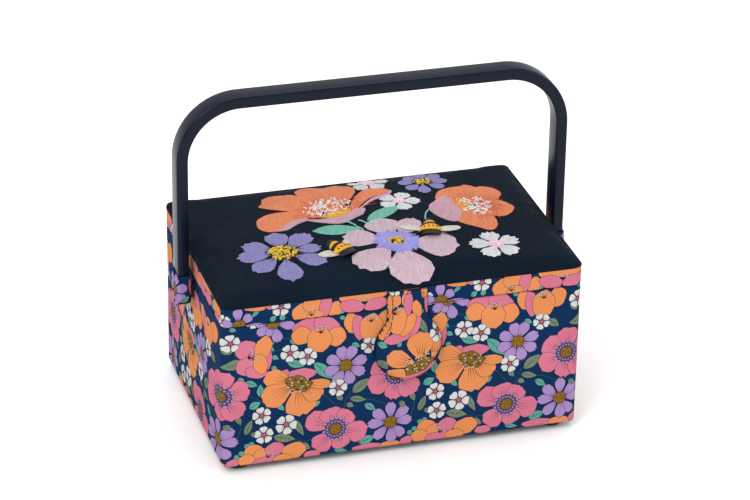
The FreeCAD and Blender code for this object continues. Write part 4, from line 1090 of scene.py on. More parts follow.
def underlay(outline, colour, lift):
    """A thin layer of colour under a filled shape."""
    outline = np.array(outline, float)
    if area(outline) < 0:
        outline = outline[::-1]
    low, high = outline.min(0), outline.max(0)
    flat = [Vector(p) for p in outline]
    edges = []
    for x in np.arange(low[0] + UNDERLAY_SPACING / 2, high[0], UNDERLAY_SPACING):
        edges.append((len(flat), len(flat) + 1))
        flat += [Vector((x, low[1])), Vector((x, high[1]))]
    for y in np.arange(low[1] + UNDERLAY_SPACING / 2, high[1], UNDERLAY_SPACING):
        edges.append((len(flat), len(flat) + 1))
        flat += [Vector((low[0], y)), Vector((high[0], y))]
    points, _, faces, _, _, owners = delaunay_2d_cdt(flat, edges, [list(range(len(outline)))], 0, 1e-4, True)
    faces = [face for face, owner in zip(faces, owners) if owner]
    used = sorted({i for face in faces for i in face})
    renumber = {old: new for new, old in enumerate(used)}
    laid = on_lid([tuple(points[i]) for i in used], lift)
    return laid, [[renumber[i] for i in face] for face in faces], np.tile(np.array(colour), (len(laid), 1))


def shaded(colour, amount):
    """A thread colour made lighter or darker."""
    return tuple(c * amount for c in colour[:3]) + (1.0,)


def filled(outlines, colour, layer=0.0, angle=80.0, gap=0.78):
    """Underlay and stitches for shapes of one colour; layer raises them over what is below."""
    parts, lines, colours = [], [], []
    for outline in outlines:
        # The underlay takes the thread colour at 0.72: painted shade between the rows.
        parts.append(underlay(outline, shaded(colour, 0.72), 0.12 + layer))
        for start, end in stitch_rows(outline, angle, gap):
            share = np.array([0, 0.25, 0.75, 1.0])[:, None]
            laid = on_lid(start + (end - start) * share, layer)
            laid[:, 2] += np.array([0.05, LOFT, LOFT, 0.05])
            lines.append(laid)
            colours.append(shaded(colour, stitch_random.uniform(0.88, 1.08)))
    parts.append(sewn_threads("fill", lines, colours, THREAD_RADIUS))
    return parts


def loose_stitches(segments, colour, lift, radius):
    """Single stitches on top of a filling: veins, stamens and stems."""
    lines, colours = [], []
    for start, end in segments:
        start, end = np.array(start, float), np.array(end, float)
        share = np.array([0, 0.3, 0.7, 1.0])[:, None]
        laid = on_lid(start + (end - start) * share, 0.0)
        laid[:, 2] += np.array([0.3, lift, lift, 0.3])
        lines.append(laid)
        colours.append(shaded(colour, stitch_random.uniform(0.9, 1.1)))
    return [sewn_threads("loose", lines, colours, radius)]


def smooth_loop(points):
    """A closed outline through points, rounded by Catmull and Rom's rule."""
    points = np.array(points, float)
    before, after, later = np.roll(points, 1, 0), np.roll(points, -1, 0), np.roll(points, -2, 0)
    rounded = []
    for i in range(len(points)):
        for t in np.arange(LOOP_CUTS) / LOOP_CUTS:
            rounded.append(0.5 * (2 * points[i] + (after[i] - before[i]) * t
                                  + (2 * before[i] - 5 * points[i] + 4 * after[i] - later[i]) * t ** 2
                                  + (3 * points[i] - before[i] - 3 * after[i] + later[i]) * t ** 3))
    return np.array(rounded)


def petal_loop(at, angle, length, width, inner=2.0, ruffle=0.04):
    """A petal outline for stitching, with a gently ruffled end."""
    t = np.sin(np.linspace(0, math.pi / 2, 9))
    half = width / 2 * np.sin(math.pi * t ** 1.7) ** 0.62
    along = inner + (length - inner) * t * (1 + ruffle * np.sin(np.arange(9) * 2.7 + angle))
    outline = np.concatenate([np.stack([along, half], 1), np.stack([along, -half], 1)[1:-1][::-1]])
    return placed(outline, at, angle)


print("stitches up to", LONGEST_STITCH, "mm long, in thread", 2 * THREAD_RADIUS, "mm thick")

# %% [markdown]
# ## The embroidered flowers
# Two orange poppies, a lilac cosmos in front and one behind, a large mauve anemone, three white daisies
# and a few mint leaves. Petals that lie in front are sewn later and a little higher.

# %% Thread colours
POPPY, UNDERSIDE, MAUVE = tint(230, 139, 95), tint(206, 164, 178), tint(212, 186, 198)
LILAC_THREAD, RING, WHITE_THREAD = tint(146, 140, 195), tint(152, 146, 214), tint(224, 224, 228)
BLUSH, MINT_THREAD, GOLD_THREAD = tint(232, 196, 208), tint(118, 190, 172), tint(226, 186, 50)
BLACK_THREAD, VEIN = tint(28, 26, 28), tint(196, 78, 46)
AMBER = tint(226, 160, 60)


def fan_of(at, angles, start, end):
    """Straight stitches that spread out from a centre."""
    return [placed(np.array([(start, 0), (end * stitch_random.uniform(0.8, 1.1), 0)]), at, angle)
            for angle in angles]


def speckles(at, long, wide, tilt, count, size):
    """Short stitches scattered over an oval."""
    marks = []
    for i in range(count):
        reach, lean = math.sqrt(stitch_random.random()), stitch_random.uniform(0, 2 * math.pi)
        off = np.array([(long * reach * math.cos(lean), wide * reach * math.sin(lean))])
        stitch = np.array([(-size / 2, 0), (size / 2, 0)])
        marks.append(placed(stitch, placed(off, at, tilt)[0], stitch_random.uniform(0, 180)))
    return marks


# %% Large poppy
poppy_parts = filled([smooth_loop(loop) for loop in (
    [(-39, 57), (-37, 66), (-28, 70), (-18, 69), (-7, 71), (-4, 67), (3, 63), (4, 56), (2, 50), (-6, 38),
     (-20, 20), (-33, 32)],
    [(-40, 57), (-48, 60), (-58, 61), (-65, 57), (-67, 50), (-70, 45), (-60, 37), (-48, 30), (-34, 22),
     (-30, 34)],
    [(-38, 28), (-62, 32), (-73, 28), (-78, 22), (-79, 12), (-75, 5), (-68, 3), (-63, 7), (-57, 13),
     (-45, 17), (-30, 16)],
    [(-8, 26), (0, 42), (8, 52), (15, 56), (22, 55), (27, 50), (24, 44), (12, 40), (2, 30),
     (-5, 20)])], POPPY)
poppy_parts += filled([smooth_loop(loop) for loop in (
    [(-68, 3), (-63, 7), (-57, 13), (-45, 17), (-42, 14), (-52, 9), (-60, 3)],
    [(-44, 14), (-33, 6), (-22, 2), (-14, 5), (-8, 9), (-2, 13), (2, 22), (-6, 22), (-14, 15), (-30, 12)],
    [(-2, 22), (12, 38), (24, 43), (27, 48), (29, 46), (24, 39), (12, 34), (2, 25)])], UNDERSIDE, layer=0.25)
poppy_parts += filled([smooth_loop([(-34, 16), (-22, 12), (-9, 19), (-12, 26), (-24, 22)])], AMBER, 0.3)
poppy_parts += loose_stitches(fan_of((-21, 20), range(14, 200, 7), 12, 34), VEIN, 0.75, 0.22)
poppy_parts += loose_stitches(speckles((-24, 30), 20, 13, 20, 105, 3.0), WHITE_THREAD, 1.1, 0.42)
poppy_parts += loose_stitches(speckles((-22, 24), 16, 9, 20, 46, 2.4), VEIN, 0.9, 0.3)
poppy_parts += loose_stitches(speckles((-18, 18), 10, 4, 20, 34, 1.8), GOLD_THREAD, 1.0, 0.4)
coloured_piece("large_poppy", poppy_parts, "lid", ["embroidery"])

# %% Right poppy
right_parts = filled([smooth_loop(loop) for loop in (
    [(56, 22), (60, 35), (68, 41), (80, 43), (84, 45), (90, 40), (92, 34), (84, 14), (66, 10)],
    [(90, 38), (96, 40), (103, 36), (106, 28), (103, 21), (98, 15), (84, 8), (84, 24)],
    [(99, 16), (107, 6), (107, 0), (102, -7), (95, -11), (86, -8), (78, 2), (86, 12)],
    [(87, -8), (88, -18), (85, -27), (79, -31), (72, -25), (63, -17), (58, -6), (66, 10), (80, 4)])], POPPY)
right_parts += filled([smooth_loop([(53, 20), (60, 27), (65, 26), (66, 14), (68, 2), (64, -8), (58, -14),
                                    (50, -6), (46, 6), (48, 15)])], UNDERSIDE, layer=0.35)
right_parts += loose_stitches(fan_of((80, 8), range(-100, 130, 8), 9, 24), VEIN, 0.75, 0.22)
right_parts += loose_stitches(speckles((81, 8), 12, 15, 0, 80, 3.0), WHITE_THREAD, 1.1, 0.42)
right_parts += loose_stitches(speckles((72, 10), 4, 12, 0, 30, 2.0), GOLD_THREAD, 1.0, 0.4)
right_parts += loose_stitches(speckles((82, 8), 10, 12, 0, 26, 2.2), VEIN, 0.9, 0.28)
coloured_piece("right_poppy", right_parts, "lid")


# %% Cosmos and anemone
def stitched_eye(at, long, wide):
    """A dark oval thick with gold knots."""
    eye = filled([smooth_loop([(at[0] + long * math.cos(a), at[1] + wide * math.sin(a))
                               for a in np.arange(8) * math.pi / 4])], BLACK_THREAD, 0.3)
    return eye + loose_stitches(speckles(at, long, wide, 0, round(long * wide * 1.25), 1.7),
                                GOLD_THREAD, 1.3, 0.5)


FRONT_AT, ANEMONE_AT = (-72, -30), (9, -34)
front_cosmos = filled([petal_loop(FRONT_AT, *petal, 7, 0.05) for petal in (
    (175, 32, 17), (140, 31, 16), (88, 31, 17), (45, 33, 17), (5, 27, 13), (-38, 32, 17), (-95, 38, 18),
    (-142, 32, 16))], LILAC_THREAD)
front_cosmos += loose_stitches(fan_of(FRONT_AT, range(0, 360, 11), 9, 15), BLACK_THREAD, 0.75, 0.2)
front_cosmos += stitched_eye(FRONT_AT, 10.5, 9.5)
coloured_piece("front_cosmos", front_cosmos, "lid")

back_tips = [(39, 60), (46, 69), (58, 73), (70, 68), (73, 56), (67, 44), (52, 38), (42, 46)]
back_cosmos = filled([petal_loop((55, 56), math.degrees(math.atan2(y - 56, x - 55)),
                                 math.hypot(x - 55, y - 56) + 1, 9.5, 4) for x, y in back_tips], LILAC_THREAD)
back_cosmos += loose_stitches(fan_of((55, 56), range(0, 360, 15), 5, 8.5), BLACK_THREAD, 0.75, 0.2)
back_cosmos += stitched_eye((55, 56), 6.5, 5.5)
coloured_piece("back_cosmos", back_cosmos, "lid")

anemone_parts = filled([petal_loop(ANEMONE_AT, *petal, 8, 0.03) for petal in (
    (155, 38, 25), (97, 37, 25), (55, 38, 18))], MAUVE)
anemone_parts += filled([petal_loop(ANEMONE_AT, *petal, 8, 0.03) for petal in (
    (-20, 43, 34), (-90, 50, 32), (-140, 46, 28))], MAUVE, layer=0.15)
anemone_parts += loose_stitches(fan_of(ANEMONE_AT, range(0, 360, 4), 6, 16.5), RING, 1.1, 0.55)
anemone_parts += loose_stitches(fan_of(ANEMONE_AT, range(2, 362, 6), 5, 11), RING, 1.4, 0.5)
anemone_parts += stitched_eye(ANEMONE_AT, 9.5, 8)
coloured_piece("anemone", anemone_parts, "lid")

# %% Daisies and leaves
daisy_parts = []
for at, reach, spin in (((17, 67), 15, 10), ((29, 28), 15, 60), ((76, -52), 18, 20)):
    daisy_parts += filled([petal_loop(at, spin + i * 72, reach, reach * 0.78, 2, 0.09) for i in range(5)],
                          WHITE_THREAD, angle=80, gap=0.85)
    daisy_parts += loose_stitches(fan_of(at, range(0, 360, 14), 0.5, reach * 0.32), BLUSH, 1.2, 0.5)
coloured_piece("white_daisies", daisy_parts, "lid")


def leaf_loop(root, tip, width):
    """The outline of a stitched leaf."""
    root, tip = np.array(root, float), np.array(tip, float)
    length = np.linalg.norm(tip - root)
    t = np.linspace(0, 1, 9)
    half = width / 2 * np.sin(math.pi * t ** 0.9) ** 0.85
    outline = np.concatenate([np.stack([t * length, half], 1),
                              np.stack([t * length, -half], 1)[1:-1][::-1]])
    return placed(outline, root, math.degrees(math.atan2(*(tip - root)[::-1])))


leaf_parts = filled([leaf_loop((-44, -4), (-10, -9), 15), leaf_loop((-2, 2), (28, 21), 12)], MINT_THREAD)
stems = []
for path in (((-18, 5), (-14, 0), (-12, -6), (-9, -12)), ((47, 10), (42, 4), (39, -4), (38, -12)),
             ((-8, 4), (-4, -2), (2, -6))):
    stems += list(zip(path, path[1:]))
leaf_parts += loose_stitches(stems, MINT_THREAD, 0.7, 0.62)
coloured_piece("mint_leaves", leaf_parts, "lid")

# %% [markdown]
# ## The two bees
# Each bee is raised work: a felt body padded up and sewn over with thick thread in black and yellow,
# white satin wings, and single black stitches for its legs and feelers. The same filling is used, with a
# dome added to its lift.


# %% Bees
BEE_YELLOW, BEE_BLACK, WING = tint(238, 172, 34), tint(30, 28, 30), tint(206, 202, 192)


def bee(name, at, heading, wings, legs, replaces):
    """A bee from above; in its own plan the head points along +x and the tail lies at the origin."""
    def own(points):
        return placed(np.array(points, float), at, heading)

    def raised(outline, colour, height):
        """Rows across the body over a dome."""
        lines, colours = [], []
        outline = np.array(outline, float)
        middle = outline.mean(0)
        reach = np.abs(outline - middle).max(0)
        for start, end in stitch_rows(outline, 90, 0.62, 30):
            share = np.linspace(0, 1, 7)[:, None]
            plan = start + (end - start) * share
            off = np.clip(((plan - [0, middle[1]]) / [1e9, reach[1]]) ** 2, 0, 1).sum(1)
            laid = on_lid(own(plan), 0.3)
            laid[:, 2] += height * np.sqrt(np.clip(1 - off, 0, 1))
            lines.append(laid)
            colours.append(shaded(colour, stitch_random.uniform(0.85, 1.1)))
        return [sewn_threads("bee", lines, colours, 0.45, 6)]

    def oval(x, y, long, wide):
        angles = np.arange(16) * 2 * math.pi / 16
        return [(x + long * math.cos(a), y + wide * math.sin(a)) for a in angles]

    parts = []
    for x, y, long, wide, lean in wings:
        wing = placed(np.array(oval(0, 0, long, wide)), own([(x, y)])[0], heading + lean)
        parts += filled([wing], WING, layer=1.0, angle=heading + 70, gap=0.7)
    for x, long, wide, colour, height in (
            (4.5, 5.0, 6.6, BEE_BLACK, 4.0), (9.0, 3.4, 8.2, BEE_YELLOW, 4.6),
            (13.4, 2.6, 7.2, BEE_BLACK, 4.2), (17.2, 2.4, 5.0, BEE_YELLOW, 3.6), (21.0, 2.8, 4.2, BEE_BLACK, 2.8)):
        parts += raised(oval(x, 0, long, wide), colour, height)
    dots = []
    for y in (-4.5, -1.5, 1.5, 4.5):
        spot = on_lid(own([(9.0 - 0.9, y), (9.0, y), (9.0 + 0.9, y)]), 0.0)
        spot[:, 2] += 0.75 + 4.6 * math.sqrt(1 - (y / 8.2) ** 2)
        dots.append(spot)
    parts.append(sewn_threads("dots", dots, [BEE_BLACK] * len(dots), 0.5, 5))
    parts += loose_stitches([own(leg) for leg in legs], BEE_BLACK, 1.5, 0.24)
    return coloured_piece(name, parts, "lid", replaces)


bee("left_bee_work", (-27.5, -47.5), 117, ((12, 9.5, 8.5, 4.2, 62), (16, -8.5, 5.5, 2.8, -60)),
    (((19, -4), (22, -12)), ((16, -6), (19, -15)), ((23, 1), (27, 4))), ["left_bee"])
bee("right_bee_work", (34.5, -34.5), 78, ((13.5, 12.5, 9.5, 3.6, 78), (12.5, -12.5, 9.5, 3.6, -78)),
    (((8, 7), (2, 16)), ((6, -6), (1, -15)), ((23, 1), (27, 5)), ((23, -1), (27, -5))), ["right_bee"])

# %% [markdown]
# ## The closure tab
# The tab is cut in one piece: a flat neck caught in the lid's seam, and a rounded head, padded over a
# magnet. Its outline is drawn in the flat, the cloth solver fills it, and the print is then laid on the
# filled form by casting rays at it. A row of black topstitching runs down both edges of the neck.

# %% Tab outline and pad
tab_low, tab_high = span("closure_tab")
TAB_BACK_Y = tab_high.y
NECK_LEFT, NECK_RIGHT, NECK_TOP = -13.2, 15.8, 129.0
HEAD_HALF_X, HEAD_HALF_Z = (tab_high.x - tab_low.x) / 2, 25.5
HEAD_X, HEAD_Z = (tab_low.x + tab_high.x) / 2, tab_low.z + HEAD_HALF_Z
HEAD_START = 112.0
tab_outline = [(NECK_RIGHT, NECK_TOP), (NECK_LEFT, NECK_TOP)]
tab_outline += [(NECK_LEFT, z) for z in (125, 120, 115, 110.5)]
tab_outline.append((NECK_LEFT - 0.3, 107))
for lean in range(132, 408, 8):
    a = math.radians(lean)
    tab_outline.append((HEAD_X + HEAD_HALF_X * math.cos(a), HEAD_Z + HEAD_HALF_Z * math.sin(a)))
tab_outline += [(NECK_RIGHT + 1.8, 106), (NECK_RIGHT + 0.5, 110), (NECK_RIGHT, 113)]
tab_outline += [(NECK_RIGHT, z) for z in (117, 122, 126)]
tab_outline = np.array(tab_outline)


def inside_distance(points, outline):
    """Distance from points to the nearest edge of an outline."""
    start, end = outline, np.roll(outline, -1, 0)
    run = end - start
    rel = points[:, None, :] - start[None, :, :]
    share = np.clip((rel * run).sum(2) / (run ** 2).sum(1), 0, 1)
    return np.linalg.norm(rel - share[:, :, None] * run, axis=2).min(1)


def is_inside(points, outline):
    """Whether each point lies inside an outline: a line drawn from it crosses the outline an odd number
    of times."""
    crossings = np.zeros(len(points), int)
    for (ax, ay), (bx, by) in zip(outline, np.roll(outline, -1, 0)):
        spans = (ay <= points[:, 1]) != (by <= points[:, 1])
        reach = ax + (points[:, 1] - ay) * (bx - ax) / ((by - ay) or 1e-9)
        crossings += spans & (points[:, 0] < reach)
    return crossings % 2 == 1


def outline_grid(outline, spacing):
    """Points and triangles that fill an outline, close to an even grid."""
    low, high = outline.min(0), outline.max(0)
    filling = []
    for row, y in enumerate(np.arange(low[1] + spacing / 2, high[1], spacing * 0.87)):
        for x in np.arange(low[0] + (row % 2) * spacing / 2, high[0], spacing):
            filling.append((x, y))
    filling = np.array(filling)
    filling = filling[is_inside(filling, outline) & (inside_distance(filling, outline) > spacing * 0.45)]
    dense = []
    for here, after in zip(outline, np.roll(outline, -1, 0)):
        count = max(1, round(np.linalg.norm(after - here) / spacing))
        dense += [here + (after - here) * i / count for i in range(count)]
    loop = dense if area(np.array(dense)) > 0 else dense[::-1]
    flat = [Vector(p) for p in loop] + [Vector(p) for p in filling]
    points, _, faces, _, _, _ = delaunay_2d_cdt(flat, [], [list(range(len(loop)))], 1, 1e-4, True)
    points = np.array([tuple(p) for p in points])
    middles = np.array([points[list(face)].mean(0) for face in faces])
    return points, [tuple(face) for face, inner in zip(faces, is_inside(middles, outline)) if inner]


def tab_swell(points):
    """How far the padding lifts the front of the tab at (x, z)."""
    inward = inside_distance(points, tab_outline)
    head = np.clip((HEAD_START - points[:, 1]) / 14, 0, 1)
    head = head * head * (3 - 2 * head)
    thick = 1.9 + 5.0 * head
    edge = 1.4 + 7.5 * head
    return thick * np.sqrt(np.clip(1 - (1 - np.clip(inward / edge, 0, 1)) ** 2, 0, 1)) + 0.12


flat_tab, tab_faces = outline_grid(tab_outline, 2.0)
lift = tab_swell(flat_tab)
count = len(flat_tab)
front_points = np.column_stack([flat_tab[:, 0], TAB_BACK_Y - lift, flat_tab[:, 1]])
back_points = np.column_stack([flat_tab[:, 0], np.full(count, TAB_BACK_Y), flat_tab[:, 1]])
edge_of = inside_distance(flat_tab, tab_outline) < 0.05
pad_faces = list(tab_faces) + [tuple(i + count for i in face[::-1]) for face in tab_faces]
directed = {pair: None for face in tab_faces for pair in zip(face, face[1:] + face[:1])}
for here, after in directed:
    if (after, here) not in directed:
        pad_faces.append((after, here, here + count, after + count))
tab_held = np.concatenate([np.where(edge_of | (flat_tab[:, 1] > HEAD_START), 1.0, 0.0), np.ones(count)])
pad_points = puff("tab", np.concatenate([front_points, back_points]), pad_faces, tab_held, 6.0, 1.2)
tab_ground = BVHTree.FromPolygons([Vector(p) for p in pad_points], pad_faces)
print(f"tab pad: {len(pad_faces)} faces, up to {lift.max():.1f} mm thick")

# %% Tab print
tab_drawing = Drawing()


def straight(x, z):
    """The tab's print has no repeats, so its points stay where they are."""
    return (x, z)


tab_drawing.leaves("mint", straight, (
    ((-20.5, 92.5), (-14.5, 90), 5), ((-7, 89), (-4.8, 93.5), 3), ((0, 100), (2, 93), 3),
    ((25, 76), (22, 68), 4), ((-2, 129), (3, 131), 3), ((10, 111), (12.5, 113.5), 3)))
tab_drawing.leaves("sage", straight, (
    ((-20, 79.5), (-14, 72.5), 6), ((2, 96), (11, 99.5), 4), ((8, 108), (14, 98), 5)))
tab_drawing.blobs(straight, (
    ("orange", -0.8, 123.5, 2.6, 5.5, -8), ("pink", 1.3, 118.6, 3.3, 9.8, -4),
    ("orange", 7.6, 114.6, 3.4, 6.8, 12), ("pink", 3.6, 101.6, 9.5, 3.6, 48),
    ("pink", -7.5, 96.2, 9.5, 4, 14), ("orange", -8.3, 122.6, 4.6, 5, 0), ("orange", -11.8, 118, 1.8, 9.5, 0),
    ("orange", 0.6, 104.5, 9, 4, 48), ("orange", -6.3, 108, 6, 9.4, -22), ("orange", -15.5, 101, 7, 2.8, 58),
    ("orange", 12.9, 127.5, 2.3, 5.5, 0), ("pink", 14.6, 117, 1.4, 6.5, 6)))
stamens(tab_drawing, (-9, 112), 62, 7, 9)
tab_drawing.blob("pink", (9, 68), 14, 3.6, 24)
for root, angle, length, width in (((17.5, 74), 74, 20, 8), ((10, 74), 93, 25, 20), ((8, 73), 156, 25, 14)):
    tab_drawing.petal("orange", root, angle, length, width, inner=1)
    for lean in (-14, -5, 5, 14):
        tab_drawing.vein(root, angle + lean, 8, length * 0.75, 0.25)
tab_drawing.blob("orange", (-5.5, 68), 9, 3.8, -10)
tab_drawing.blob("gold", (8.5, 72.5), 11.5, 5.2, 24, 0.12)
for i in range(40):
    reach, lean = 2 + 10 * ((i * 37) % 40) / 40, math.radians(i * GOLDEN_ANGLE)
    off = np.array([(reach * math.cos(lean), 0.55 * reach * math.sin(lean) + 1)])
    spot = placed(off, (8.5, 74), 24)[0]
    tab_drawing.dot("white" if i % 3 else "outline", spot, 0.6, 0.2, 5)
daisy(tab_drawing, (22.5, 96), 7, 30)
daisy(tab_drawing, (-8, 130.5), 4.5, 10)

TAB_PROUD = 0.6


def on_tab(flat):
    """The print's points on the filled tab, just proud of the pad."""
    swell = tab_swell(flat)
    laid = []
    for (x, z), lift in zip(flat, swell):
        hit = tab_ground.ray_cast(Vector((x, TAB_BACK_Y - 30, z)), Vector((0, 1, 0)))[0]
        laid.append((x, (hit.y if hit else TAB_BACK_Y - lift) - TAB_PROUD, z))
    return np.array(laid)


TAB_GRID = 1.8
tab_columns = list(np.arange(tab_low.x - 0.5, tab_high.x + TAB_GRID, TAB_GRID))
tab_rows = list(np.arange(tab_low.z - 0.5, NECK_TOP + TAB_GRID, TAB_GRID))
tab_mesh = printed_sheet("tab_cloth", tab_drawing, tab_columns, tab_rows, on_tab, keep=tab_outline)
printed_piece("tab_cloth", tab_mesh, "tab", ["closure_tab"])
tab_lining = woven_finish("tab_lining", tint(12, 44, 82), tint(9, 35, 68), 0.0005, "X", "Z",
                          Specular_IOR_Level=0.1)
tab_pad = new_piece("tab_back", pad_points, pad_faces, tab_lining, "tab")

# %% Topstitching on the tab
DASH, DASH_GAP = 2.2, 0.8
IN_LEFT, IN_RIGHT, STITCH_TOP = NECK_LEFT + 3.4, NECK_RIGHT - 3.4, NECK_TOP - 2
dashes = []
for path in (((IN_LEFT, STITCH_TOP), (IN_LEFT, 110), (NECK_LEFT + 1, 103), (NECK_LEFT - 3, 97)),
             ((IN_RIGHT, STITCH_TOP), (IN_RIGHT, 112), (NECK_RIGHT - 2, 106)),
             ((NECK_LEFT + 3, STITCH_TOP), (NECK_RIGHT - 3, STITCH_TOP))):
    for here, after in zip(path, path[1:]):
        here, after = np.array(here, float), np.array(after, float)
        length = np.linalg.norm(after - here)
        for start in np.arange(0, length - DASH / 2, DASH + DASH_GAP):
            stops = np.array([start, start + DASH * 0.3, start + DASH * 0.7, min(start + DASH, length)])
            laid = on_tab(here + (after - here) * (stops / length)[:, None])
            laid[:, 1] -= np.array([0.0, 0.28, 0.28, 0.0])
            dashes.append(laid)
topstitches = sewn_threads("topstitch", dashes, [BLACK_THREAD] * len(dashes), 0.2)
coloured_piece("tab_topstitch", [topstitches], "tab")

# %% [markdown]
# ## The handle
# The handle is one moulded bow: a flat bar with rounded edges, bent to a wide U. A section is carried
# along the middle of the bar and turned square to the path at each step. The top is a little thicker
# than the legs.

# %% Handle bow
bow_low, bow_high = span("handle_bow")
LEG, BAR, BEND = 8.3, 8.7, 46.0
BAR_DEPTH = bow_high.y - bow_low.y
BAR_EDGE = 1.4


def section(thick, deep, edge):
    """Points round a bar's section: n is the outward direction in the plane of the bow."""
    ring = []
    for corner, (sign_n, sign_y) in enumerate(((1, 1), (-1, 1), (-1, -1), (1, -1))):
        for i in range(5):
            a = math.radians(90 * corner + 90 * i / 4)
            ring.append((sign_n * (thick / 2 - edge) + edge * math.cos(a),
                         sign_y * (deep / 2 - edge) + edge * math.sin(a)))
    return ring


def handle_path():
    """Middle points of the bar, outward directions and thicknesses, from left foot to right foot."""
    side, crown_z = bow_high.x - LEG / 2, bow_high.z - BAR / 2
    turn_x, turn_z = bow_high.x - BEND, bow_high.z - BEND
    stations = [((-side, z), (-1, 0), LEG) for z in (100, 100.6, 110, 130, 160, 190, turn_z)]
    for i in range(1, 24):
        a = math.pi - math.pi / 2 * i / 24
        thick = LEG + (BAR - LEG) * i / 24
        reach = BEND - thick / 2
        stations.append(((-turn_x + reach * math.cos(a), turn_z + reach * math.sin(a)),
                         (math.cos(a), math.sin(a)), thick))
    stations += [((x, crown_z), (0, 1), BAR) for x in (-turn_x, -turn_x * 0.6, -turn_x * 0.2)]
    return stations + [((-x, z), (-nx, nz), thick) for (x, z), (nx, nz), thick in stations[::-1]]


def tube(name, rings, material, body, replaces):
    """A skin over rings of points, each ring in the same order, with its ends closed."""
    count = len(rings[0])
    points = [p for ring in rings for p in ring]
    faces = []
    for r in range(len(rings) - 1):
        for c in range(count):
            n = (c + 1) % count
            faces.append((r * count + c, r * count + n, (r + 1) * count + n, (r + 1) * count + c))
    faces.append(tuple(range(count))[::-1])
    faces.append(tuple((len(rings) - 1) * count + c for c in range(count)))
    piece = new_piece(name, points, faces, material, body, replaces)
    work = bmesh.new()
    work.from_mesh(piece.data)
    bmesh.ops.recalc_face_normals(work, faces=work.faces)
    work.to_mesh(piece.data)
    work.free()
    print(f"{name}: {len(rings)} sections")


handle_plastic = plain_finish("handle_plastic", tint(3, 14, 33), tint(2, 10, 26), (0.24, 0.34), patch=12,
                              grain=1800, depth=0.00002, strength=0.2, Specular_IOR_Level=0.17)
bow_rings = []
for (x, z), (nx, nz), thick in handle_path():
    bow_rings.append([(x + nx * n, y, z + nz * n) for n, y in section(thick, BAR_DEPTH, BAR_EDGE)])
tube("handle_bar", bow_rings, handle_plastic, "handle", ["handle_bow"])

# %% [markdown]
# ## Sleeves on the handle's feet
# Each foot of the handle sits in a small pocket of the printed cloth, riveted to the side of the box
# through a spacer. The pocket is a tongue: straight at the top, half round below, closed at its seam.


# %% Handle sleeves
def sleeve_place(side, middle_x, half_thick, half_wide, low, high):
    """The place rule of a sleeve: a flat tube that closes to a half round below the pivot."""
    def place(flat):
        along, thick, nx, ny = round_the_box(flat[:, 0], half_wide, half_thick, 3.0)
        depth, z = fold_profile(flat[:, 1], low - 60, high, 0.7, 1.5)
        z = np.maximum(z, low)
        fall = np.clip((PIVOT_Z - z) / (PIVOT_Z - low), 0, 1)
        narrow = np.sqrt(np.clip(1 - fall ** 2, 0, 1))
        flatten = 0.12 + 0.88 * np.clip(narrow * 1.6, 0, 1) ** 0.6
        crease = 0.25 * np.sin(z * 0.9 + along * 0.5) * (half_thick - 3 < np.abs(thick))
        across = (along - nx * depth) * narrow
        out = (thick - ny * (depth + crease)) * flatten
        return np.stack([middle_x - side * out, side * across, z], 1)
    return place


for word, side in (("left", -1), ("right", 1)):
    low, high = span(f"{word}_sleeve")
    half_thick, half_wide = (high.x - low.x) / 2, (high.y - low.y) / 2
    around = 4 * (half_thick + half_wide - 6) + 6 * math.pi
    sleeve_columns = np.linspace(-around / 2, around / 2, 49)
    sleeve_rows = [low.z] + [low.z + d for d in (0.15, 0.5, 1, 1.7, 2.6, 3.8, 5.2, 6.8, 8.6)]
    sleeve_rows += [high.z - d for d in (12, 9, 6, 3, 1, 0.7, 0.35, 0, -0.4)] + [high.z + 2.0]
    sleeve_drawing = Drawing()
    cosmos(sleeve_drawing, (-side * 3, 107), [(a, 13, 8.5) for a in (20, 72, 128, 180, 232, 290, -28)])
    for lean in (-1, 1):
        sleeve_drawing.blob("pink", (lean * 22, 110), 5, 9, 12)
        sleeve_drawing.leaf("mint", (lean * 12, 98), (lean * 17, 104), 4)
    place = sleeve_place(side, (low.x + high.x) / 2, half_thick, half_wide, low.z, high.z)
    mesh = printed_sheet(f"{word}_sleeve_cloth", sleeve_drawing, sleeve_columns, sleeve_rows, place)
    printed_piece(f"{word}_sleeve_cloth", mesh, "handle", [f"{word}_sleeve"])

# %% [markdown]
# ## The cloth hinge
# A strip of the print is glued across the joint at the back, onto both halves. It is cut into many
# narrow rows.


# %% Hinge strip
strip_low, strip_high = span("hinge_strip")
hinge_drawing = Drawing()
for repeat in range(0, 4):
    print_tile(hinge_drawing, -REPEAT * 0.7 + (repeat - 1) * REPEAT, 3.0)
hinge_columns = list(np.linspace(strip_low.x, strip_high.x, 12))
hinge_rows = list(np.arange(strip_low.z, strip_high.z + 0.01, 0.5))


def on_back(flat):
    """The print's points on the back of the box, seen from behind."""
    edge = np.minimum(flat[:, 1] - strip_low.z, strip_high.z - flat[:, 1])
    lift = 0.3 + 0.4 * np.clip(edge / 0.8, 0, 1)
    return np.stack([-flat[:, 0], strip_low.y + lift, flat[:, 1]], 1)


hinge_mesh = printed_sheet("hinge_cloth", hinge_drawing, hinge_columns, hinge_rows, on_back)
hinge_cloth = printed_piece("hinge_cloth", hinge_mesh, None, ["hinge_strip"])
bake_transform(hinge_cloth)

# %% [markdown]
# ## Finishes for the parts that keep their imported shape
# Boards, rails, feet, screws and trays are right as they were designed. They need only a finish with the
# grain, weave or turning lines of the real material.


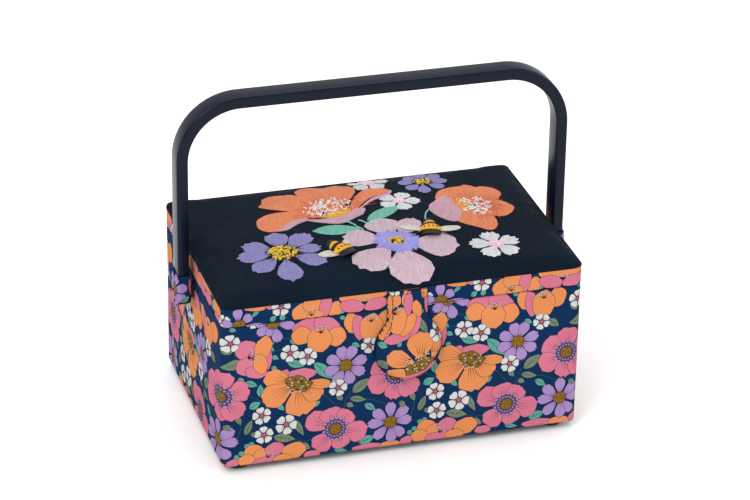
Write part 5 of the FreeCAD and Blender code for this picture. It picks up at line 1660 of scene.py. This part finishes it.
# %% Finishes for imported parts
def board_finish():
    """Pressed fibreboard: brown-grey with fine short fibres and darker flecks."""
    made = Finish("fibreboard")
    place = made.object_place()
    flecks = made.noise(place, 700.0, 5.0)
    fibres = made.noise(place, 2400.0, 3.0)
    made.bump(made.maths("ADD", flecks, fibres), 0.35, 0.0001)
    colour = made.mixed("MIX", made.ranged(flecks, 0.35, 0.65), tint(128, 100, 70), tint(158, 130, 96))
    return made.surface(colour, made.ranged(fibres, 0.3, 0.7, 0.82, 0.94), Specular_IOR_Level=0.2)


def metal_finish(name, light, dark, rough_low, rough_high, scale):
    """Plated metal with fine turning lines and small dull patches."""
    made = Finish(name)
    place = made.object_place()
    lines = made.noise(place, scale, 2.0)
    dull = made.ranged(made.noise(place, 160.0), 0.4, 0.7)
    made.bump(lines, 0.2, 0.00003)
    return made.surface(made.mixed("MIX", dull, light, dark),
                        made.ranged(lines, 0.3, 0.7, rough_low, rough_high), Metallic=1.0)


fibreboard = board_finish()
pink_lining, pink_lining_upright, pink_lining_side = (
    woven_finish(name, tint(206, 118, 142), tint(190, 102, 128), 0.0006, across, along,
                 Specular_IOR_Level=0.12, Sheen_Weight=0.05)
    for name, across, along in (("pink_lining", "X", "Y"), ("pink_lining_upright", "X", "Z"),
                                ("pink_lining_side", "Y", "Z")))
base_black = woven_finish("base_black", tint(24, 25, 28), tint(17, 18, 21), 0.0007, Specular_IOR_Level=0.1)
foot_black = plain_finish("foot_black", tint(22, 22, 24), tint(14, 14, 16), (0.45, 0.6), patch=60,
                          grain=2200, depth=0.00005, Specular_IOR_Level=0.35)
spacer_black = plain_finish("spacer_black", tint(26, 27, 36), tint(18, 19, 27), (0.4, 0.55), patch=80,
                            grain=2600, depth=0.00003, Specular_IOR_Level=0.35)
tray_white = plain_finish("tray_white", tint(214, 211, 204), tint(204, 201, 193), (0.34, 0.46), patch=18,
                          grain=1500, depth=0.00003, strength=0.4, Specular_IOR_Level=0.4)
screw_steel = metal_finish("screw_steel", tint(198, 200, 204), tint(158, 160, 164), 0.25, 0.4, 3000.0)
rivet_brass = metal_finish("rivet_brass", tint(206, 168, 96), tint(160, 124, 66), 0.22, 0.38, 2600.0)
magnet_nickel = metal_finish("magnet_nickel", tint(188, 190, 196), tint(140, 142, 148), 0.18, 0.32, 2000.0)


def finish_node(node, material):
    """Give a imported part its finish; its mesh and place stay as they are."""
    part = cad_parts[node]
    part.data.materials.clear()
    part.data.materials.append(material)


for node, material in (("base_board", fibreboard), ("base_cloth", base_black), ("foot_screws", screw_steel),
                       ("handle_rivets", rivet_brass), ("handle_spacers", spacer_black),
                       ("tab_magnet", magnet_nickel), ("steel_disc", screw_steel)):
    finish_node(node, material)
for corner in ("front_left", "front_right", "back_left", "back_right"):
    finish_node(corner + "_foot", foot_black)
print("materials so far:", len(bpy.data.materials))

# %% [markdown]
# ## Softened edges
# Sawn board, folded cloth and moulded plastic have no knife edges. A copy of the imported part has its
# loose triangles merged into flat faces, and a narrow bevel then rounds every edge, so that light
# catches it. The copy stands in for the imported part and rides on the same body.


# %% Softened copies
def softened(node, material, body, width):
    """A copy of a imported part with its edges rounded."""
    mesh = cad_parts[node].data.copy()
    mesh.name = node + "_soft"
    work = bmesh.new()
    work.from_mesh(mesh)
    bmesh.ops.remove_doubles(work, verts=work.verts, dist=0.00001)
    bmesh.ops.dissolve_limit(work, angle_limit=math.radians(1.5), verts=work.verts, edges=work.edges)
    for edge in work.edges:
        edge.smooth = True
    work.to_mesh(mesh)
    work.free()
    mesh.materials.clear()
    mesh.materials.append(material)
    piece = linked(node + "_soft", mesh)
    bevel = piece.modifiers.new("soft_edges", "BEVEL")
    bevel.width = width
    bevel.segments = 2
    bevel.limit_method = "ANGLE"
    bevel.angle_limit = math.radians(35)
    bevel.use_clamp_overlap = True
    applied(piece)
    piece.data.shade_smooth()
    piece.data.set_sharp_from_angle(angle=math.radians(50))
    print(f"{node}: {len(piece.data.polygons)} faces")
    settle(piece, body, [node])


for node in ("front_board", "back_board", "left_board", "right_board"):
    softened(node, fibreboard, "box", 0.0006)
softened("lid_board", fibreboard, "lid", 0.0009)
for side in ("front", "back", "left", "right"):
    softened(f"lid_{side}_rail", fibreboard, "lid", 0.0005)
softened("base_lining", pink_lining, "box", 0.0003)
softened("lid_lining", pink_lining, "lid", 0.0004)
for side, cloth in (("front", pink_lining_upright), ("back", pink_lining_upright),
                    ("left", pink_lining_side), ("right", pink_lining_side)):
    softened(f"{side}_lining", cloth, "box", 0.0005)
for side in ("left", "right"):
    softened(f"{side}_tray_ledge", fibreboard, "box", 0.0006)
for node in ("upper_tray", "lower_tray"):
    softened(node, tray_white, node, 0.0005)

# %% [markdown]
# ## The gathered pocket inside the lid
# A strip of the lining, cut longer than it finishes, is sewn flat along its back edge and gathered onto
# elastic along its mouth. The extra length becomes folds that are shallow at the seam and deep at the
# mouth. The folds are a sum of waves whose spacing drifts, so no two are alike.

# %% Gathered pocket
pocket_low, pocket_high = span("lid_pocket")
elastic_low, elastic_high = span("pocket_elastic")
SEAM_Z, FOLD_DEPTH = pocket_high.z - 0.15, 2.5
pocket_x = np.linspace(pocket_low.x, pocket_high.x, 361)
mouth_y = [elastic_high.y - 0.4, elastic_high.y - 1.4]
pocket_y = np.concatenate([np.linspace(pocket_high.y, pocket_low.y, 25), mouth_y])


def gathers(x):
    """Fold height from 0 to 1 along the pocket's mouth."""
    drift = 4.0 * np.sin(x / 23.0) + 2.5 * np.sin(x / 9.7 + 1.0)
    return 0.5 + 0.34 * np.sin((x + drift) * 1.25) + 0.16 * np.sin((x - drift) * 0.61 + 2.0)


rows_of_cloth = []
for y in pocket_y:
    from_seam = np.clip((pocket_high.y - y) / (pocket_high.y - pocket_low.y), 0, 1)
    from_side = np.clip(np.minimum(pocket_x - pocket_low.x, pocket_high.x - pocket_x) / 7.0, 0, 1)
    loose = math.sin(math.pi * min(from_seam, 0.92)) ** 0.7 * 0.5
    depth = from_side * (loose + gathers(pocket_x) * FOLD_DEPTH * from_seam ** 0.9)
    rows_of_cloth.append(np.stack([pocket_x, np.full_like(pocket_x, y), SEAM_Z - 0.25 - depth], 1))
pocket_points = np.concatenate(rows_of_cloth)
pocket_faces = grid_faces(len(pocket_x), len(pocket_y))
pocket = new_piece("gathered_pocket", pocket_points, pocket_faces, pink_lining, None)
thicken = pocket.modifiers.new("cloth_thickness", "SOLIDIFY")
thicken.thickness = 0.0003
thicken.offset = 0.0
applied(pocket)
settle(pocket, "lid", ["lid_pocket"])

# %% Pocket elastic
elastic_cloth = woven_finish("elastic_pink", tint(214, 128, 150), tint(196, 108, 132), 0.0011, "X", "Y",
                             Specular_IOR_Level=0.15, Sheen_Weight=0.05)
ELASTIC_SIDES = 14
elastic_rings = []
elastic_y, elastic_z = (elastic_low.y + elastic_high.y) / 2, (elastic_low.z + elastic_high.z) / 2
half_y, half_z = (elastic_high.y - elastic_low.y) / 2, (elastic_high.z - elastic_low.z) / 2
for x in np.linspace(elastic_low.x, elastic_high.x, 301):
    pinch = 1 - 0.16 * gathers(np.array([x * 1.7]))[0]
    end = min(1.0, 0.25 + min(x - elastic_low.x, elastic_high.x - x) / 3.0)
    ring = []
    for a in np.arange(ELASTIC_SIDES) * 2 * math.pi / ELASTIC_SIDES:
        across_band = math.copysign(abs(math.cos(a)) ** 0.6, math.cos(a)) * half_y * 0.97
        up_band = math.copysign(abs(math.sin(a)) ** 0.6, math.sin(a)) * half_z * pinch * end * 0.95
        ring.append((x, elastic_y + across_band * (0.94 + 0.06 * pinch), elastic_z + half_z * 0.05 + up_band))
    elastic_rings.append(ring)
tube("gathered_elastic", elastic_rings, elastic_cloth, "lid", ["pocket_elastic"])

# %% [markdown]
# ## The pincushion
# A small stuffed pad of plain orange cotton is glued inside the lid near its front edge. It starts as a
# slightly small pillow and the cloth solver fills it. A line of pale stitches runs round its seam.

# %% Pincushion
pin_low, pin_high = span("pincushion")
PIN_X, PIN_Y = (pin_high.x - pin_low.x) / 2 - 0.6, (pin_high.y - pin_low.y) / 2 - 0.6
PIN_STEPS = (0.0, 0.7, 1.8, 3.4)
pin_x, pin_y = rounded_plan(spread(PIN_X, PIN_STEPS, 2.6), spread(PIN_Y, PIN_STEPS, 2.6), 5.0)
pin_crown = np.clip((1 - (pin_x / PIN_X) ** 2) * (1 - (pin_y / PIN_Y) ** 2), 0, 1)
pin_middle_y = (pin_low.y + pin_high.y) / 2
PIN_SEAM = pin_high.z - 1.2
pin_top = np.minimum(PIN_SEAM + 0.9 * pin_crown ** 0.5, pin_high.z - 0.2)
pin_under = PIN_SEAM - 0.5 - 5.6 * pin_crown ** 0.42
pin_points, pin_faces, pin_ring = closed_pad(pin_x, pin_y + pin_middle_y, pin_top, pin_under)
pin_held = np.zeros(len(pin_points))
pin_held[:len(pin_points) // 2] = 1
pin_held[pin_ring + len(pin_points) // 2] = 1
pin_points = puff("pincushion", pin_points, pin_faces, pin_held, 5.0, 1.6)
pin_points[:, 2] = np.clip(pin_points[:, 2], pin_low.z, pin_high.z - 0.15)
pin_cotton = woven_finish("pincushion_cotton", tint(222, 142, 92), tint(206, 122, 74), 0.0006,
                          Specular_IOR_Level=0.1, Sheen_Weight=0.05)
cushion = new_piece("stuffed_pincushion", pin_points, pin_faces, pin_cotton, None)
smoother(cushion)
settle(cushion, "lid", ["pincushion"])
seam_dashes = []
loop = pin_points[pin_ring + len(pin_points) // 2]
for here, after in zip(loop, np.roll(loop, -1, 0)):
    if np.linalg.norm(after - here) > 1.2:
        share = np.array([0.15, 0.5, 0.85])[:, None]
        seam_dashes.append(here + (after - here) * share - [0, 0, 0.25])
seam_threads = sewn_threads("pin_seam", seam_dashes, [WHITE_THREAD] * len(seam_dashes), 0.22)
coloured_piece("pincushion_stitches", [seam_threads], "lid")
